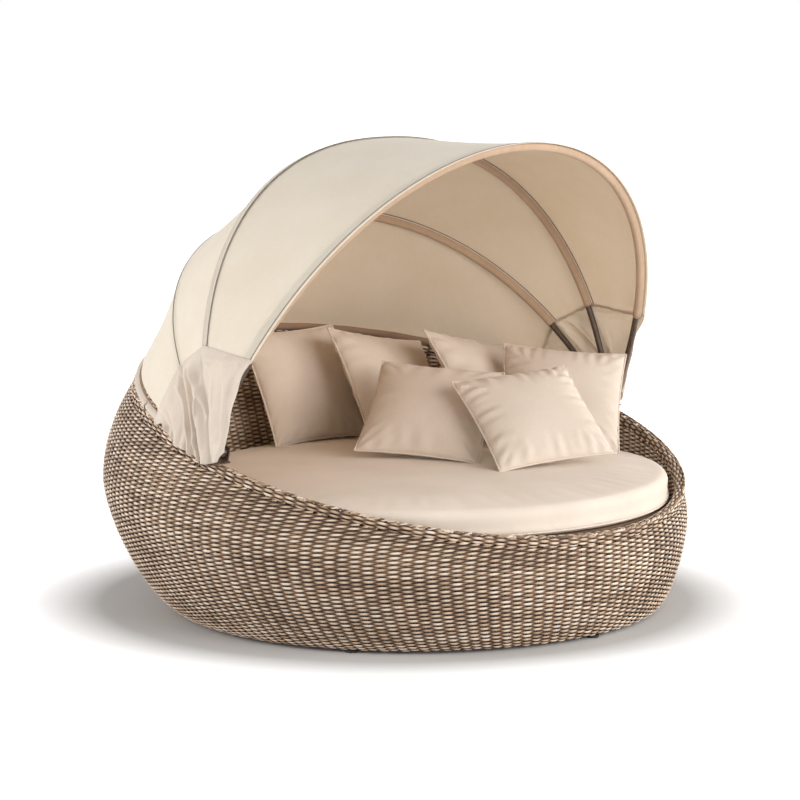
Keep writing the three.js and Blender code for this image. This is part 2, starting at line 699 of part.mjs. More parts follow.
function clothOverBow(index, pointOf, param, delta, extra, standoff = CLOTH_STANDOFF) {
  const { middle, size } = bowOffset(index, pointOf, param, delta, standoff);
  return pointOf(index, param).addScaledVector(middle, size + extra);
}

// One panel: straight between its bows but for a shallow sag, with a hem in front of
// the first bow or down the outer side of the last.
function canopyPanel(index) {
  const delta = 0.002;
  const rowShares = shares(CLOTH_ROWS);
  const sections = shares(CLOTH_STEPS).map((share) => {
    const along = delta + share * (1 - 2 * delta);
    const line = (extra) => {
      const front = clothOverBow(index, bowAlong, along, delta, extra);
      const rear = clothOverBow(index + 1, bowAlong, along, delta, extra);
      const chord = rear.clone().sub(front);
      const gapShare = SEAM_GAP / chord.length();
      const inward = HINGE.clone().sub(front).setX(0).normalize();
      const points = rowShares.map((row) => {
        const place = gapShare + row * (1 - 2 * gapShare);
        const sag = CLOTH_SAG * 4 * row * (1 - row) * Math.sin(Math.PI * along);
        return front.clone().addScaledVector(chord, place).addScaledVector(inward, sag);
      });
      if (index === 0) {
        points.unshift(front.clone().addScaledVector(chord, -FRONT_HEM / chord.length()));
      }
      if (index === bows.length - 1) points.push(...rearHem(along, extra));
      return points;
    };
    return strip(line(CLOTH_THICKNESS), line(0));
  });
  return loft(sections, false);
}

// The rear hem's two lower lines, on the outer side of the rear bow and above the braid.
function rearHem(along, extra) {
  const start = rearTurn(SEAM_REACH);
  const turn = start + along * (Math.PI - 2 * start);
  const out = BOW_RADIUS + CLOTH_STANDOFF + extra;
  return [0, REAR_HEM].map((drop) => rimPoint(turn, out, REAR_BOW_LIFT - drop));
}

// A hinge flap: the same cloth below the side seam, gathered in pleats towards the
// hinge and carried out past the bolt's head.
function hingeFlap(index, side) {
  const reachShares = shares(FLAP_ROWS);
  const headOut = HINGE_HALF_SPAN + BOW_RADIUS + EAR_GAP + EAR_THICKNESS + BOLT_HEAD_HEIGHT;
  const pointOf = (bow, reach) => bowAtReach(bow, reach, side);
  const columns = FLAP_PLEATS * 4;
  const sections = shares(columns).map((across) => {
    const line = (extra) => reachShares.map((down) => {
      const reach = SEAM_REACH - SEAM_GAP + (FLAP_END - SEAM_REACH + SEAM_GAP) * down;
      const front = clothOverBow(index, pointOf, reach, REACH_STEP, extra, FLAP_STANDOFF);
      const rear = clothOverBow(index + 1, pointOf, reach, REACH_STEP, extra, FLAP_STANDOFF);
      const width = rear.distanceTo(front);
      const start = (index === 0 ? FRONT_HEM * (down - 1) : SEAM_GAP) / width;
      const point = front.lerp(rear, start + across * (1 - SEAM_GAP / width - start));
      const hub = headOut + CLOTH_STANDOFF + extra;
      const lean = down ** 2;
      const pleat = FLAP_PLEAT * Math.sin(FULL_TURN * FLAP_PLEATS * across) ** 2 * Math.sin(Math.PI * down);
      point.x = side * (Math.abs(point.x) * (1 - lean) + hub * lean + pleat);
      return point;
    });
    return strip(line(CLOTH_THICKNESS), line(0));
  });
  return loft(sections, false);
}

// A webbing tab on the outside of the rear hem, down past its edge.
function tieStrap(turnDegrees) {
  const middle = radians(turnDegrees);
  const halfAngle = STRAP_WIDTH / 2 / RIM_HALF_WIDTH;
  const out = BOW_RADIUS + CLOTH_STANDOFF + CLOTH_THICKNESS + SEAM_GAP;
  const sections = [-1, 0, 1].map((place) => {
    const angle = middle + place * halfAngle;
    const line = (extra) => shares(1).map((share) => (
      rimPoint(angle, out + extra, REAR_BOW_LIFT - share * STRAP_LENGTH)
    ));
    return strip(line(STRAP_THICKNESS), line(0));
  });
  return loft(sections, false);
}

function addCloth() {
  ['canopy_front_panel', 'canopy_middle_panel', 'canopy_rear_panel'].forEach((name, index) => {
    add(name, canopyPanel(index), CANOPY_CLOTH);
  });
  [['left', -1], ['right', 1]].forEach(([hand, side]) => {
    ['front', 'middle', 'rear'].forEach((place, index) => {
      add(`hinge_flap_${hand}_${place}`, hingeFlap(index, side), CANOPY_CLOTH);
    });
  });
  const straps = [['right', 90 - STRAP_TURN_DEG], ['back', 90], ['left', 90 + STRAP_TURN_DEG]];
  straps.forEach(([name, turn]) => add(`tie_strap_${name}`, tieStrap(turn), CANOPY_CLOTH));
}

// The hinge on one side. It sits square on the sloping rim, so it is made level about
// the hinge line and then tilted with the rim.
function addHinge(hand, side) {
  const tilt = (geometry) => geometry.rotateX(RIM_SLOPE).translate(0, HINGE_Y, HINGE_HEIGHT);
  const plateLow = BRAID_RADIUS + GAP - HINGE_OVER_RIM;
  const plateTop = plateLow + PLATE_THICKNESS;
  const outerEar = HINGE_HALF_SPAN + BOW_RADIUS + EAR_GAP;
  const innerEar = HINGE_HALF_SPAN - 2 * BOW_STEP - BOW_RADIUS - EAR_GAP;
  const block = (fromX, toX, lowY, highY, lowZ, highZ) => {
    const box = new THREE.BoxGeometry(toX - fromX, highY - lowY, highZ - lowZ);
    return box.translate(side * (fromX + toX) / 2, (lowY + highY) / 2, (lowZ + highZ) / 2);
  };
  const ear = (fromX) => block(
    fromX, fromX + EAR_THICKNESS, -EAR_HALF_WIDTH, EAR_HALF_WIDTH, plateLow, EAR_HALF_WIDTH,
  );
  const spigotRadius = (BOW_RADIUS - BOW_WALL) * Math.cos(Math.PI / TUBE_SIDES) - GAP * 2;
  const spigotZ = REAR_BOW_LIFT - HINGE_OVER_RIM;
  const spigotX = rimPoint(rearTurn(PLATE_HALF_LENGTH), 0, REAR_BOW_LIFT).x;
  const plate = block(
    Math.min(innerEar - EAR_THICKNESS, spigotX - BOW_RADIUS),
    Math.max(outerEar + EAR_THICKNESS, spigotX + BOW_RADIUS),
    -PLATE_HALF_LENGTH, PLATE_HALF_LENGTH, plateLow, plateTop,
  );
  const riser = block(
    spigotX - BOW_RADIUS, spigotX + BOW_RADIUS,
    PLATE_HALF_LENGTH - PLATE_THICKNESS, PLATE_HALF_LENGTH, plateLow, spigotZ + spigotRadius,
  );
  const spigot = new THREE.CylinderGeometry(spigotRadius, spigotRadius, SPIGOT_LENGTH, TUBE_SIDES);
  spigot.translate(side * spigotX, PLATE_HALF_LENGTH - PLATE_THICKNESS / 2 + SPIGOT_LENGTH / 2, spigotZ);
  const holeIn = innerEar - EAR_THICKNESS - OVERRUN;
  const hole = holeAlongX(BOLT_RADIUS + GAP, side * holeIn, side * (outerEar + EAR_THICKNESS + OVERRUN));
  const solid = join(plate, ear(innerEar - EAR_THICKNESS), ear(outerEar), riser, spigot);
  add(`hinge_bracket_${hand}`, tilt(cut(solid, hole)), STEEL);

  // Bolt: head, shank and the spacer collars that keep the bow ends apart.
  const headIn = outerEar + EAR_THICKNESS + GAP;
  const tip = innerEar - EAR_THICKNESS - GAP * 2 - NUT_HEIGHT - BOLT_TIP;
  const collarSpans = range(bows.length + 1).map((step) => {
    const above = HINGE_HALF_SPAN - (step - 1) * BOW_STEP - BOW_RADIUS - COLLAR_GAP;
    const below = HINGE_HALF_SPAN - step * BOW_STEP + BOW_RADIUS + COLLAR_GAP;
    return [step === bows.length ? innerEar + GAP : below, step === 0 ? outerEar - GAP : above];
  }).reverse();
  const profile = [[0, tip], [BOLT_RADIUS, tip]];
  collarSpans.forEach(([low, high]) => {
    profile.push([BOLT_RADIUS, low], [COLLAR_RADIUS, low], [COLLAR_RADIUS, high], [BOLT_RADIUS, high]);
  });
  profile.push([BOLT_RADIUS, headIn], [BOLT_HEAD_RADIUS, headIn]);
  profile.push([BOLT_HEAD_RADIUS, headIn + BOLT_HEAD_HEIGHT - GAP], [0, headIn + BOLT_HEAD_HEIGHT - GAP]);
  const outline = profile.map(([radius, along]) => new THREE.Vector2(radius, along));
  const bolt = new THREE.LatheGeometry(outline, TUBE_SIDES).rotateZ(-side * QUARTER_TURN);
  add(`pivot_bolt_${hand}`, tilt(bolt), STEEL);

  const hexagon = new THREE.Shape(range(6).map((corner) => {
    const turn = (FULL_TURN * corner) / 6;
    return new THREE.Vector2(NUT_RADIUS * Math.cos(turn), NUT_RADIUS * Math.sin(turn));
  }));
  hexagon.holes.push(new THREE.Path().absarc(0, 0, BOLT_RADIUS + GAP, 0, FULL_TURN, true));
  const nutSettings = { depth: NUT_HEIGHT, bevelEnabled: false, curveSegments: TUBE_SIDES / 2 };
  const nut = new THREE.ExtrudeGeometry(hexagon, nutSettings);
  nut.translate(0, 0, -NUT_HEIGHT / 2).rotateY(QUARTER_TURN);
  nut.translate(side * (innerEar - EAR_THICKNESS - GAP - NUT_HEIGHT / 2), 0, 0);
  add(`pivot_nut_${hand}`, tilt(nut), STEEL);
}

addFrame();
addGlides();
addWicker();
addScatterCushions(addSeat());
addBows();
addCloth();
addHinge('left', -1);
addHinge('right', 1);

export default group;
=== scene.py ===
import math

import bpy
import numpy as np
from mathutils import Matrix, Vector


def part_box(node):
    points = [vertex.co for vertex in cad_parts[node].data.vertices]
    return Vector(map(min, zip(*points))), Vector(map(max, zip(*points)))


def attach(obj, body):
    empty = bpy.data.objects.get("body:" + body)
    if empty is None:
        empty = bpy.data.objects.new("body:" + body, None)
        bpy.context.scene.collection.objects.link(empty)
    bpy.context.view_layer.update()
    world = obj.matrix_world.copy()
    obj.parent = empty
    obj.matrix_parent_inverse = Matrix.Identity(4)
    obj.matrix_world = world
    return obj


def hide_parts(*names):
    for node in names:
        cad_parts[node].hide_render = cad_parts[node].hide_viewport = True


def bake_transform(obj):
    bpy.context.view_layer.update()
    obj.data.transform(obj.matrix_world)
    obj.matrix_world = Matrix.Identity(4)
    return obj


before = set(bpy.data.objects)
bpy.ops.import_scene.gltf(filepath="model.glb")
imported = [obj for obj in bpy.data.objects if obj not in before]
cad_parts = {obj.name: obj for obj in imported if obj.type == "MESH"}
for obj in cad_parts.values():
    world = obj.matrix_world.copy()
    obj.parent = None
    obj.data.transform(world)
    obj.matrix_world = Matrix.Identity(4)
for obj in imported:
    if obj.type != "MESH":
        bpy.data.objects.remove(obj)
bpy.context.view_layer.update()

# Round outdoor daybed in metres: a woven bowl, its seat and loose cushions, and a canopy
# of cloth on bows. Every shape is a numpy surface, worked out from the sizes below.

MM = 0.001
TURN = 2 * math.pi
QUARTER = math.pi / 2

# Bowl: the foot, belly and rim ovals of the outer wall, and the seat it is built round.
BELLY_HALF_WIDTH = 0.930
BELLY_HALF_DEPTH = 0.916
BELLY_HEIGHT = 0.340
BELLY_SLOPE = 0.112
BASE_HALF_WIDTH = BELLY_HALF_WIDTH - 0.162
BASE_HALF_DEPTH = BELLY_HALF_DEPTH - (0.069 + 0.285) / 2
BASE_CENTRE_Y = (0.069 - 0.285) / 2
BASE_HEIGHT = 0.008
FOOT_CURL = 1.356
RIM_HALF_WIDTH = BELLY_HALF_WIDTH - 0.066
RIM_HALF_DEPTH = BELLY_HALF_DEPTH - (0.017 + 0.143) / 2
RIM_CENTRE_Y = (0.017 - 0.143) / 2
RIM_HEIGHT = BELLY_HEIGHT + 0.206
RIM_SLOPE = 0.272
RIM_TILT = math.atan(RIM_SLOPE)
RIM_UP = np.array([0.0, -math.sin(RIM_TILT), math.cos(RIM_TILT)])
WALL_SPREAD = 16 * MM
BRAID_RADIUS = 17 * MM
BRAID_WRAP = math.radians(34)
RIM_LIP = math.radians(-52)
WALL_TOP = -BRAID_RADIUS * math.sin(BRAID_WRAP) - 0.6 * MM
SEAT_LOW, SEAT_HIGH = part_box("seat_cushion")
SEAT_HALF_WIDTH = (SEAT_HIGH.x - SEAT_LOW.x) / 2
SEAT_HALF_DEPTH = (SEAT_HIGH.y - SEAT_LOW.y) / 2
SEAT_CENTRE_Y = (SEAT_HIGH.y + SEAT_LOW.y) / 2
SEAT_BASE = SEAT_LOW.z
SEAT_CROWN = 14 * MM
SEAT_THICKNESS = SEAT_HIGH.z - SEAT_LOW.z - SEAT_CROWN
SEAT_EDGE = 30 * MM
SEAT_SIDES = 180
INNER_FOOT = SEAT_BASE - 51 * MM

# Weave: thin upright stakes, and flat strands that go over and under them in turn.
STAKES = 156
STRAND_PITCH = 6.9 * MM
STRAND_WIDTH = 6.9 * MM
STRAND_THICKNESS = 2.2 * MM
STRAND_SWING = 3.5 * MM
STAKE_RADIUS = 1.8 * MM
SAMPLES_PER_STAKE = 4

# Canopy: three bows that turn on the hinge line and a fourth that lies on the rim.
HINGE_HALF_SPAN = 0.899
HINGE_Y = RIM_CENTRE_Y - 0.064
HINGE_Z = RIM_HEIGHT - RIM_SLOPE * 0.064 + 0.0494
HINGE = np.array([0.0, HINGE_Y, HINGE_Z])
HINGE_OVER_RIM = 0.0494 * math.cos(RIM_TILT)
BOW_STEP = 26 * MM
BOW_RADIUS = 10 * MM
BOW_END = 14 * MM
REAR_BOW_LIFT = BRAID_RADIUS + BOW_RADIUS + 0.3 * MM
# Each bow's name, reach, lean up from the back, and fullness: 2 is half an ellipse.
BOWS = (
    ("front_bow", 0.968, math.radians(115.4), 2.01),
    ("second_bow", 0.887, math.radians(77.5), 2.27),
    ("third_bow", 0.835, math.radians(47.9), 2.33),
)
SEAM_REACH = 0.300
FLAP_END = 0.034
CLOTH_OFF = 2.2 * MM + 1.5 * MM
CLOTH_THICKNESS = 1.6 * MM
CLOTH_SAG = 11 * MM
FRONT_HEM = 24 * MM
STUD_FROM_SEAM = 14 * MM
REAR_HEM = 12 * MM
SLEEVE_RADIUS = 12.4 * MM
LOOSE_EDGE = 16 * MM
FLAP_OVERLAP = 12 * MM
STRAP_WIDTH = 26 * MM

# Scatter cushions: place as shares of the seat's half sizes, and their turns in degrees.
SCATTER_SIZE = 0.405
SCATTER_THICKNESS = 0.122
PIPING_RADIUS = 3.1 * MM
SCATTER_SHARES = (
    (0.171, 0.926, 267, 28, 0),
    (0.413, 0.623, 274, 41, 14),
    (0.710, 0.338, 284, 43, 17),
    (0.172, 0.153, 217, 52, 6.5),
    (0.350, -0.272, 242, 53, -8),
    (0.779, -0.026, 226, 44.5, 6.5),
)


def unit(vectors):
    """Each vector over its own length."""
    return vectors / np.maximum(np.linalg.norm(vectors, axis=-1, keepdims=True), 1e-12)


def stack(x, y, z):
    """Points from three arrays of coordinates that broadcast together."""
    return np.stack(np.broadcast_arrays(x, y, z), -1).astype(float)


def smooth_step(t):
    """0 below 0, 1 above 1 and 3t^2 - 2t^3 between."""
    t = np.clip(t, 0, 1)
    return t * t * (3 - 2 * t)


def ripple(u, v, seed, waves=5, low=1.0, high=3.0):
    """Smooth noise about 0 with a size near 1: a sum of sines of u and v whose directions,
    frequencies from low to high and phases come from the seed."""
    rng = np.random.default_rng(seed)
    total = np.zeros(np.broadcast(u, v).shape)
    for _ in range(waves):
        angle, phase = rng.uniform(0, TURN, 2)
        rate = rng.uniform(low, high) * TURN
        total += np.sin(rate * (math.cos(angle) * u + math.sin(angle) * v) + phase)
    return total / math.sqrt(waves)


# Surfaces of the bowl. The angle runs round from +X by way of the back.

def rim_point(angle, spread=0.0, lift=0.0):
    """The rim's sloping oval, grown outwards by spread and lifted square to its plane."""
    reach = (RIM_HALF_DEPTH + spread) * np.sin(angle)
    width = RIM_HALF_WIDTH + spread
    flat = stack(width * np.cos(angle), RIM_CENTRE_Y + reach, RIM_HEIGHT + RIM_SLOPE * reach)
    return flat + np.asarray(lift)[..., None] * RIM_UP


def outer_face(angle, rise):
    """Outer wall: from foot (rise 0) to belly (1) the plan goes as sin^curl and the height
    as 1 - cos^curl of a quarter turn; from belly to rim (2) the plan leans in as the square."""
    belly_y = BELLY_HALF_DEPTH * np.sin(angle)
    belly = stack(BELLY_HALF_WIDTH * np.cos(angle), belly_y, BELLY_HEIGHT + BELLY_SLOPE * belly_y)
    base_y = BASE_CENTRE_Y + BASE_HALF_DEPTH * np.sin(angle)
    base = stack(BASE_HALF_WIDTH * np.cos(angle), base_y, BASE_HEIGHT)
    top = rim_point(angle, WALL_SPREAD, WALL_TOP)
    turn = np.clip(rise, 0, 1) * QUARTER
    out = (np.sin(turn) ** FOOT_CURL)[..., None]
    curl = 1 - np.maximum(np.cos(turn), 0) ** FOOT_CURL
    low = base + (belly - base) * out
    low[..., 2] = base[..., 2] + (belly[..., 2] - base[..., 2]) * curl
    up = np.clip(rise - 1, 0, 1)
    high = top + (belly - top) * (1 - up ** 2)[..., None]
    high[..., 2] = belly[..., 2] + (top[..., 2] - belly[..., 2]) * up
    return np.where((rise < 1)[..., None], low, high)


def inner_face(angle, rise):
    """Inner wall: straight lines from below the deck's edge (rise 0) to under the rim (2)."""
    top = rim_point(angle, -WALL_SPREAD, WALL_TOP - 1.1 * MM)
    margin = 2 * MM
    low = stack(
        (SEAT_HALF_WIDTH + margin) * np.cos(angle),
        SEAT_CENTRE_Y + (SEAT_HALF_DEPTH + margin) * np.sin(angle),
        INNER_FOOT,
    )
    return low + (top - low) * (rise / 2)[..., None]


def rim_face(angle, rise):
    """Round the rim ring: an arc from low on its outer side (rise 0) over to its inner (2).
    Both lips flare by their depth below the ring, so that they cover the walls' tops."""
    turn = RIM_LIP + rise / 2 * (math.pi - 2 * RIM_LIP)
    below = np.maximum(turn / RIM_LIP, (turn - math.pi) / -RIM_LIP)
    radius = BRAID_RADIUS + 4 * MM * smooth_step(below)
    return rim_point(angle, radius * np.cos(turn), radius * np.sin(turn))


def face_frame(face, angle, rise, side):
    """Point of a wall, its upward direction and its normal, by differences of the face.
    Side is 1 where the weave shows outwards and -1 where it shows inwards."""
    step = 0.004
    up = unit(face(angle, np.minimum(rise + step, 2)) - face(angle, np.maximum(rise - step, 0)))
    along = unit(face(angle + step, rise) - face(angle - step, rise))
    return face(angle, rise), up, unit(np.cross(along, up)) * side


# Meshes from arrays.

def grid_quads(rows, cols, wrap_rows=False, wrap_cols=False, first=0):
    """Quads of a grid of points numbered row by row, joined round where wrapped."""
    r = np.arange(rows if wrap_rows else rows - 1)[:, None]
    c = np.arange(cols if wrap_cols else cols - 1)[None, :]
    r2, c2 = (r + 1) % rows, (c + 1) % cols
    corners = [r * cols + c, r * cols + c2, r2 * cols + c2, r2 * cols + c]
    return first + np.stack([x + np.zeros_like(r + c) for x in corners], -1).reshape(-1, 4)


def volume_sign(points, faces):
    """Sign of the volume inside faces: positive when they point outwards."""
    total = 0.0
    for face in faces:
        if len(face):
            a = points[face[:, 0]]
            for k in range(1, face.shape[1] - 1):
                cross = np.cross(points[face[:, k]] - points[0], points[face[:, k + 1]] - points[0])
                total += float(np.sum((a - points[0]) * cross))
    return math.copysign(1, total)


def mesh_piece(name, points, faces, materials, vectors=None, shade=None, flip=None):
    """An object from points (n, 3) and face arrays (m, corners), one array per number of
    corners. Closed shapes are turned to face outwards, and points in no face are dropped.
    Vectors are named values (n, 3) kept on the points, and shade gives each face array's
    material number or an array of them."""
    points = np.asarray(points, float).reshape(-1, 3)
    shade = [0] * len(faces) if shade is None else shade
    kept = [(np.asarray(f, np.int64), s) for f, s in zip(faces, shade) if len(f)]
    if flip is None:
        flip = volume_sign(points, [f for f, _ in kept]) < 0
    arrays = [f[:, ::-1] if flip else f for f, _ in kept]
    used, loops = np.unique(np.concatenate([f.ravel() for f in arrays]), return_inverse=True)
    sizes = np.concatenate([np.full(len(f), f.shape[1]) for f in arrays])
    numbers = np.concatenate([np.broadcast_to(np.asarray(s), len(f)) for f, s in kept])
    mesh = bpy.data.meshes.new(name)
    mesh.vertices.add(len(used))
    mesh.vertices.foreach_set("co", points[used].astype(np.float32).ravel())
    mesh.loops.add(len(loops))
    mesh.loops.foreach_set("vertex_index", loops.astype(np.int32).ravel())
    mesh.polygons.add(len(sizes))
    mesh.polygons.foreach_set("loop_start", np.concatenate([[0], np.cumsum(sizes)[:-1]]).astype(np.int32))
    mesh.polygons.foreach_set("material_index", numbers.astype(np.int32))
    mesh.polygons.foreach_set("use_smooth", np.ones(len(sizes), bool))
    mesh.update(calc_edges=True)
    for key, values in (vectors or {}).items():
        layer = mesh.attributes.new(key, "FLOAT_VECTOR", "POINT")
        layer.data.foreach_set("vector", values.reshape(-1, 3)[used].astype(np.float32).ravel())
    piece = bpy.data.objects.new(name, mesh)
    bpy.context.scene.collection.objects.link(piece)
    for material in materials:
        mesh.materials.append(material)
    return piece


def layer_faces(rows, cols):
    """Faces of two layers of a grid, the second turned over, and of the border between."""
    count = rows * cols
    number = np.arange(count).reshape(rows, cols)
    edge = np.concatenate([number[0, :], number[1:, -1], number[-1, -2::-1], number[-2:0:-1, 0]])
    step = np.roll(edge, -1)
    border = np.stack([step, edge, edge + count, step + count], -1)
    return [grid_quads(rows, cols), grid_quads(rows, cols, first=count)[:, ::-1], border]


def read_points(mesh):
    """A mesh's points as an array (n, 3)."""
    points = np.zeros(len(mesh.vertices) * 3, np.float32)
    mesh.vertices.foreach_get("co", points)
    return points.reshape(-1, 3)


def write_points(mesh, points):
    mesh.vertices.foreach_set("co", points.astype(np.float32).ravel())
    mesh.update()


def loft(sections, closed=False):
    """Points and faces through sections (n, k, 3): a grid wrapped round each section, and
    round the whole when closed, with a face over each end of an open one."""
    n, k = sections.shape[:2]
    faces = [grid_quads(n, k, wrap_rows=closed, wrap_cols=True)]
    if not closed:
        faces.append(np.stack([np.arange(k)[::-1], (n - 1) * k + np.arange(k)]))
    return sections.reshape(-1, 3), faces


def frames_along(path, up, closed=False):
    """Tangent, side and over vectors of a path (n, 3); over is up made square to it."""
    if closed:
        tangent = unit(np.roll(path, -1, 0) - np.roll(path, 1, 0))
    else:
        tangent = unit(np.gradient(path, axis=0))
    over = unit(up - np.sum(up * tangent, -1, keepdims=True) * tangent)
    return tangent, np.cross(tangent, over), over


def circle(sides, a, b):
    """Points round a unit circle from a towards b, for each pair of vectors (..., 3)."""
    turn = np.arange(sides) / sides * TURN
    return np.cos(turn)[:, None] * a[..., None, :] + np.sin(turn)[:, None] * b[..., None, :]


def tube(name, path, radius, material, up=(0, 0, 1), sides=12, closed=False, bore=0.0):
    """A round bar carried along a path: circles of the radius square to it. With a bore,
    the circles go on back through the inside, so that the ends show the wall."""
    path = np.asarray(path, float)
    _, side, over = frames_along(path, np.broadcast_to(np.asarray(up, float), path.shape), closed)
    radius = np.broadcast_to(np.asarray(radius, float), len(path))[:, None, None]
    ring = circle(sides, side, over)
    circles = path[:, None] + radius * ring
    if bore:
        circles = np.concatenate([circles, (path[:, None] + bore * ring)[::-1]])
    points, faces = loft(circles, closed or bore > 0)
    return mesh_piece(name, points, faces, [material])


def cloth_shell(name, grid, materials, away=HINGE):
    """A sheet of cloth from the grid of its middle surface (rows, cols, 3): two layers half a
    thickness off it along its normals, joined at the edges. The first material is on the
    side away from the point given, and the second on the other. Threads is the way along
    the grid's rows and columns to each point, in metres."""
    rows, cols = grid.shape[:2]
    normal = unit(np.cross(np.gradient(grid, axis=1), np.gradient(grid, axis=0)))
    if np.sum(normal * (grid - away)) < 0:
        normal = -normal
    layers = np.stack([grid + normal * CLOTH_THICKNESS / 2, grid - normal * CLOTH_THICKNESS / 2])
    across = np.cumsum(np.linalg.norm(np.diff(grid, axis=1), axis=-1), 1)
    along = np.cumsum(np.linalg.norm(np.diff(grid, axis=0), axis=-1), 0)
    threads = stack(np.pad(across, ((0, 0), (1, 0))), np.pad(along, ((1, 0), (0, 0))), 0.0)
    vectors = {"threads": np.stack([threads, threads])}
    return mesh_piece(name, layers, layer_faces(rows, cols), materials, vectors, [0, 1, 0])


# Materials. Colours are sRGB hex values.

# Threads are drawn at this pitch, and run this many pitches before they change.
DRAWN_THREAD = 1.6 * MM
THREAD_RUN = 14


def srgb(code):
    """Linear colour of a hex code such as e6dccb, with full alpha."""
    parts = [int(code[i:i + 2], 16) / 255 for i in (0, 2, 4)]
    return tuple(c / 12.92 if c <= 0.04045 else ((c + 0.055) / 1.055) ** 2.4 for c in parts) + (1.0,)


class Nodes:
    """Adds nodes to a node tree."""

    def __init__(self, tree):
        self.tree = tree

    def node(self, kind, inputs=(), **settings):
        """Adds a node: inputs are numbers or the sockets that feed it, in order or by name,
        and settings are its properties."""
        made = self.tree.nodes.new(kind)
        for key, value in settings.items():
            setattr(made, key, value)
        for key, value in (inputs.items() if isinstance(inputs, dict) else enumerate(inputs)):
            if isinstance(value, bpy.types.NodeSocket):
                self.tree.links.new(value, made.inputs[key])
            else:
                made.inputs[key].default_value = value
        return made

    def math(self, operation, *inputs, kind="ShaderNodeMath"):
        """What a math node makes of its inputs."""
        return self.node(kind, inputs, operation=operation).outputs[0]


class Finish(Nodes):
    """A material and its node tree."""

    def __init__(self, name, **shader):
        self.material = bpy.data.materials.new(name)
        self.material.use_nodes = True
        super().__init__(self.material.node_tree)
        self.shader = self.tree.nodes["Principled BSDF"]
        for key, value in shader.items():
            self.shader.inputs[key.replace("_", " ")].default_value = value

    def feed(self, socket, source):
        self.tree.links.new(source, self.shader.inputs[socket])

    def noise(self, place, cells, detail, roughness=0.5):
        """Noise with this many cells per metre along X, Y and Z."""
        scaled = self.math("MULTIPLY", place, cells, kind="ShaderNodeVectorMath")
        return self.node("ShaderNodeTexNoise", {"Vector": scaled, "Scale": 1.0, "Detail": detail,
                                                "Roughness": roughness}).outputs["Fac"]

    def tint(self, fac, *stops):
        """Base colour by a ramp over fac, from its stops' places and colours."""
        ramp = self.node("ShaderNodeValToRGB", [fac])
        elements = ramp.color_ramp.elements
        for number, (place, code) in enumerate(stops):
            element = elements[number] if number < 2 else elements.new(place)
            element.position = place
            element.color = srgb(code)
        self.feed("Base Color", ramp.outputs["Color"])

    def grain(self, height, strength, distance):
        """Raises the surface by a height, with a strength and a distance in metres."""
        bump = self.node("ShaderNodeBump", {"Strength": strength, "Distance": distance, "Height": height})
        self.feed("Normal", bump.outputs["Normal"])


def wicker_finish():
    """Polyethylene resin strand, extruded flat with fine ridges along it and a streaked
    colour: a low gloss, ridges that catch light, and straw, grey and brown tones mixed."""
    f = Finish("resin_wicker_strand", Roughness=0.5, IOR=1.5)
    strand = f.node("ShaderNodeAttribute", attribute_name="strand").outputs["Vector"]
    tone = f.node("ShaderNodeSeparateXYZ", [strand]).outputs["Z"]
    # Streaks run along the strand: about 22 mm long and 1 mm wide.
    streak = f.noise(strand, (45.0, 700.0, 37.0), 3.0, 0.6)
    tone = f.math("ADD", tone, f.math("MULTIPLY_ADD", streak, 0.3, -0.15))
    # The darkest stops are the shade between strands, too fine for the lamps to draw.
    f.tint(tone, (0.06, "20160f"), (0.25, "543f30"), (0.45, "8f745c"), (0.66, "c6ad94"), (0.90, "ecddcb"))
    f.grain(streak, 0.35, 0.0004)
    return f.material


def grained_finish(name, dark, light, cells, detail, grain=None, ends=(0.3, 0.7), wear=None, **shader):
    """A material that runs between two tones with a fine noise. Cells is the noise's cells
    per metre along X, Y and Z, grain the strength and height in metres of what it raises,
    and wear the least and greatest roughness that it gives."""
    f = Finish(name, **shader)
    fac = f.noise(f.node("ShaderNodeTexCoord").outputs["Object"], cells, detail)
    f.tint(fac, (ends[0], dark), (ends[1], light))
    if grain:
        f.grain(fac, *grain)
    if wear:
        rough = f.node("ShaderNodeMapRange", {"To Min": wear[0], "To Max": wear[1], "Value": fac})
        f.feed("Roughness", rough.outputs[0])
    return f.material


def cloth_finish(name, light, dark, slub=0.5, threads=True, through=0.0):
    """Woven olefin canvas: a dull face with a faint sheen, fine crossed threads and slubs.
    The real threads are 0.5 mm apart, too fine to show, so they are drawn coarser. Through is
    how much light passes into the cloth and out behind, as it does on the thin canopy."""
    f = Finish(name, Roughness=0.92, IOR=1.45, Sheen_Weight=0.12, Sheen_Roughness=0.5,
               Subsurface_Weight=through, Subsurface_Radius=(1.0, 1.0, 1.0), Subsurface_Scale=0.01)
    object_place = f.node("ShaderNodeTexCoord").outputs["Object"]
    place = object_place
    if threads:
        place = f.node("ShaderNodeAttribute", attribute_name="threads").outputs["Vector"]
    rate = 1 / DRAWN_THREAD
    run = rate / THREAD_RUN
    crossed = [f.noise(place, cells, 1.0) for cells in ((rate, run, rate / 2), (run, rate, rate / 2))]
    grain = f.math("ADD", *crossed)
    cloud = f.noise(object_place, (5.0, 5.0, 5.0), 3.0)
    total = f.math("MULTIPLY_ADD", cloud, 1 - slub, f.math("MULTIPLY", grain, slub * 0.5))
    f.tint(total, (0.34, dark), (0.66, light))
    f.grain(grain, 0.3, 0.0005)
    return f.material


def metal_finish(name, light, dark, roughness, metallic=1.0):
    """Metal with the faint smears and brushing that its making leaves, in the roughness."""
    return grained_finish(name, dark, light, (90.0, 90.0, 90.0), 4.0, (0.1, 0.0002), (0.35, 0.65),
                          (roughness - 0.08, roughness + 0.1), Metallic=metallic)


WICKER = wicker_finish()
